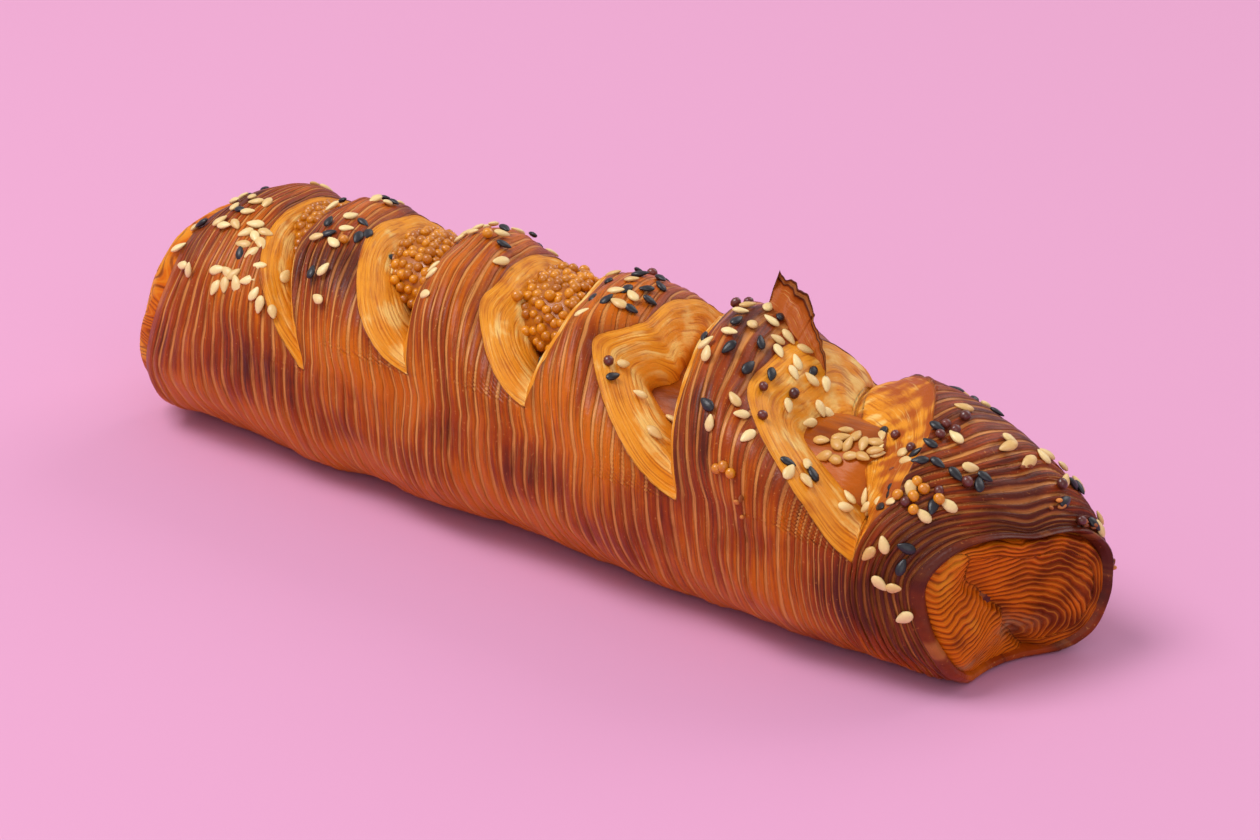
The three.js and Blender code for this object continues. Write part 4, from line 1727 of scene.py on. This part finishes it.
    def build(self) -> None:
        """Makes one piece for each kind of seed."""
        rng = np.random.default_rng(self.seed)
        scatters = [Scatter(kind.piece) for kind in self.kinds]
        taken: list = []
        for patch in (Patch(*row) for row in (*self.patches, *self.behind)):
            counts = (patch.white, patch.black, patch.brown, patch.beads)
            for scatter, kind, count in zip(scatters, self.kinds, counts):
                for _ in range(count):
                    under = self.form.frame_at(*self.draw(rng, patch, taken))
                    scatter.add(self.lay(rng, under, kind.size), float(rng.beta(1.6, 3.0)))
        for under in self.on_sausage(rng):
            seed = self.lay(rng, under, self.kinds[0].size)
            scatters[0].add(seed, float(rng.uniform(0.75, 1.0)))
        for scatter, kind in zip(scatters, self.kinds):
            place(kind.piece, scatter.mesh(kind.shape), kind.finish.material())


@dataclass
class Crumbs:
    """Small crisp crumbs of crust that stick to the near end."""

    form: LoafForm
    spots: tuple = (
        (84.0, 17.0), (83.0, 20.0), (85.6, 33.0), (80.0, 9.0), (77.0, 6.0), (68.0, -13.0), (52.0, -30.0),
    )
    each: int = 3
    spread: float = 0.9
    size: float = 0.7
    seed: int = 61

    def build(self) -> None:
        """Makes the crumbs as one piece."""
        rng = np.random.default_rng(self.seed)
        crumbs = Scatter("crust_crumbs")
        for column, s in self.spots:
            for _ in range(self.each):
                at = column + rng.normal(0.0, self.spread), s + rng.normal(0.0, self.spread)
                point, _, out = self.form.frame_at(*at)
                size = Vector(self.size * rng.uniform((0.5, 0.4, 0.25), (1.3, 0.9, 0.6)))
                crumbs.add(Matrix.LocRotScale(point + out * 0.6, spin(rng), size), float(rng.uniform()))
        finish = Grain("crust_crumb", tone(214, 132, 52), tone(128, 58, 20), 0.6, 0.0)
        place("crust_crumbs", crumbs.mesh(SeedShape.BEAD), finish.material())


@dataclass
class Flake:
    """The thin flake of crust that stands up behind the fifth band."""

    form: LoafForm
    start: tuple = (30.5, 8.5)
    end: tuple = (48.5, 4.0)
    height: float = 5.6
    thick: float = 0.5
    root: float = 1.2
    length: float = 19.0
    curl: float = 2.6
    back: tuple = (-0.5, 0.86, 0.0)
    columns: int = 90
    rows: int = 26

    def build(self) -> bpy.types.Object:
        """Makes the flake.

        Returns:
            The piece.
        """
        sheets = []
        for share in np.linspace(0.0, 1.0, self.columns):
            x, s = np.array(self.start) * (1.0 - share) + np.array(self.end) * share
            point, _, out = self.form.frame_at(self.form.column_at(x, s), s)
            run = share * self.length
            ragged = 0.6 * Ripple(71, 4.5)(run, 0.0) + 0.2 * Ripple(72, 1.7)(run, 0.0)
            tall = self.height * (1.0 - share**3) + ragged
            up = np.linspace(-self.root / self.height, 1.0, self.rows)
            free = np.maximum(up, 0.0)
            away = self.curl * np.sin(math.pi * 0.8 * free) + 0.35 * Ripple(73, 5.0)(run, up * 7.0)
            back = np.array(self.back)
            middle = np.array(point) + np.array(out) * (up * tall)[:, None] + back * away[:, None]
            half = back * (0.5 * self.thick * (1.0 - 0.6 * free))[:, None]
            sheets.append(np.concatenate([middle - half, (middle + half)[::-1]]))
        points = np.stack(sheets, 1)
        for side in (0, -1):
            points[:, side] = points[:, side].mean(0)
        up = np.concatenate([up, up[::-1]])[:, None] + 0 * points[:, :, 0]
        inner = np.arange(2 * self.rows)[:, None] < self.rows
        marks = {"layer": 7.0 * up, "bake_and_shade": 1.15 + 0.5 * smooth(0.3, 1.0, up), "girth": points[:, :, 0]}
        marks.update(region=np.where(inner, smooth(0.85, 0.55, up), 0.0), ridge=up * 3.0 + 0.4, edge=0 * up)
        skin = Skin("crust_flake", points, marks)
        return place("crust_flake", skin.close(), bpy.data.materials["baked_crust"])


# ---------------------------------------------------------------- the studio


@dataclass
class Studio:
    """The floor, the lights and the camera."""

    azimuth_deg: float = 40.0
    elevation_deg: float = 23.78
    distance: float = 700.0
    aim: tuple = (0.0, 0.0, 22.0)
    slide_right: float = 6.05
    slide_up: float = -1.53
    lens: float = 112.74
    sensor: float = 36.0
    floor_size: float = 6.0
    lights: tuple = (
        ("key", (-0.5, -0.5, 1.3), 0.7, 15.0),
        ("fill", (1.1, -0.9, 0.7), 1.2, 5.0),
        ("back", (0.2, 1.2, 0.9), 1.0, 6.0),
    )
    sky: tuple = tone(255, 244, 248)
    sky_strength: float = 0.5

    def floor(self) -> None:
        """Adds the pale floor."""
        grid = bmesh.new()
        bmesh.ops.create_grid(grid, x_segments=1, y_segments=1, size=self.floor_size)
        mesh = bpy.data.meshes.new("floor")
        grid.to_mesh(mesh)
        grid.free()
        floor = bpy.data.objects.new("floor", mesh)
        bpy.context.scene.collection.objects.link(floor)
        mesh.materials.append(PaperFloor().material())

    def axes(self) -> tuple:
        """Works out how the camera is turned.

        Returns:
            Its right, up and backward directions.
        """
        turn, rise = math.radians(self.azimuth_deg), math.radians(self.elevation_deg)
        back = Vector((math.sin(turn) * math.cos(rise), -math.cos(turn) * math.cos(rise), math.sin(rise)))
        right = Vector((math.cos(turn), math.sin(turn), 0.0))
        return right, back.cross(right), back

    def camera(self) -> None:
        """Adds the camera at the photograph's angle."""
        right, up, back = self.axes()
        spot = Vector(self.aim) + back * self.distance + right * self.slide_right + up * self.slide_up
        data = bpy.data.cameras.new("camera")
        data.lens = self.lens
        data.sensor_width = self.sensor
        data.sensor_fit = "HORIZONTAL"
        data.clip_start = 0.01
        camera = bpy.data.objects.new("camera", data)
        turn = Matrix((right, up, back)).transposed()
        camera.matrix_world = Matrix.Translation(spot * MM) @ turn.to_4x4()
        bpy.context.scene.collection.objects.link(camera)
        bpy.context.scene.camera = camera

    def light(self, name: str, spot: tuple, size: float, power: float) -> None:
        """Adds one soft light, turned to the roll.

        Args:
            name: Its name.
            spot: Its place in metres.
            size: Its width in metres.
            power: Its power in watts.
        """
        data = bpy.data.lights.new(name, "AREA")
        data.size = size
        data.energy = power
        light = bpy.data.objects.new(name, data)
        light.location = spot
        towards = Vector(self.aim) * MM - Vector(spot)
        light.rotation_euler = towards.to_track_quat("-Z", "Y").to_euler()
        bpy.context.scene.collection.objects.link(light)

    def build(self) -> None:
        """Sets the studio up."""
        self.floor()
        self.camera()
        for name, spot, size, power in self.lights:
            self.light(name, spot, size, power)
        world = bpy.data.worlds.new("studio")
        world.use_nodes = True
        sky = world.node_tree.nodes["Background"]
        sky.inputs["Color"].default_value = self.sky
        sky.inputs["Strength"].default_value = self.sky_strength
        bpy.context.scene.world = world
        bpy.context.scene.view_settings.view_transform = "Standard"


def main() -> None:
    """Builds the roll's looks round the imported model."""
    logging.basicConfig(level=logging.INFO, format="%(message)s")
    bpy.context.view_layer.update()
    form = LoafForm()
    Studio().build()
    Crust(form).build()
    NearEnd(form).build()
    FarEnd(form).build()
    Flake(form).build()
    Crumbs(form).build()
    Sausage().build()
    Mustard().build()
    Seeds(form).build()


if __name__ == "__main__":
    main()
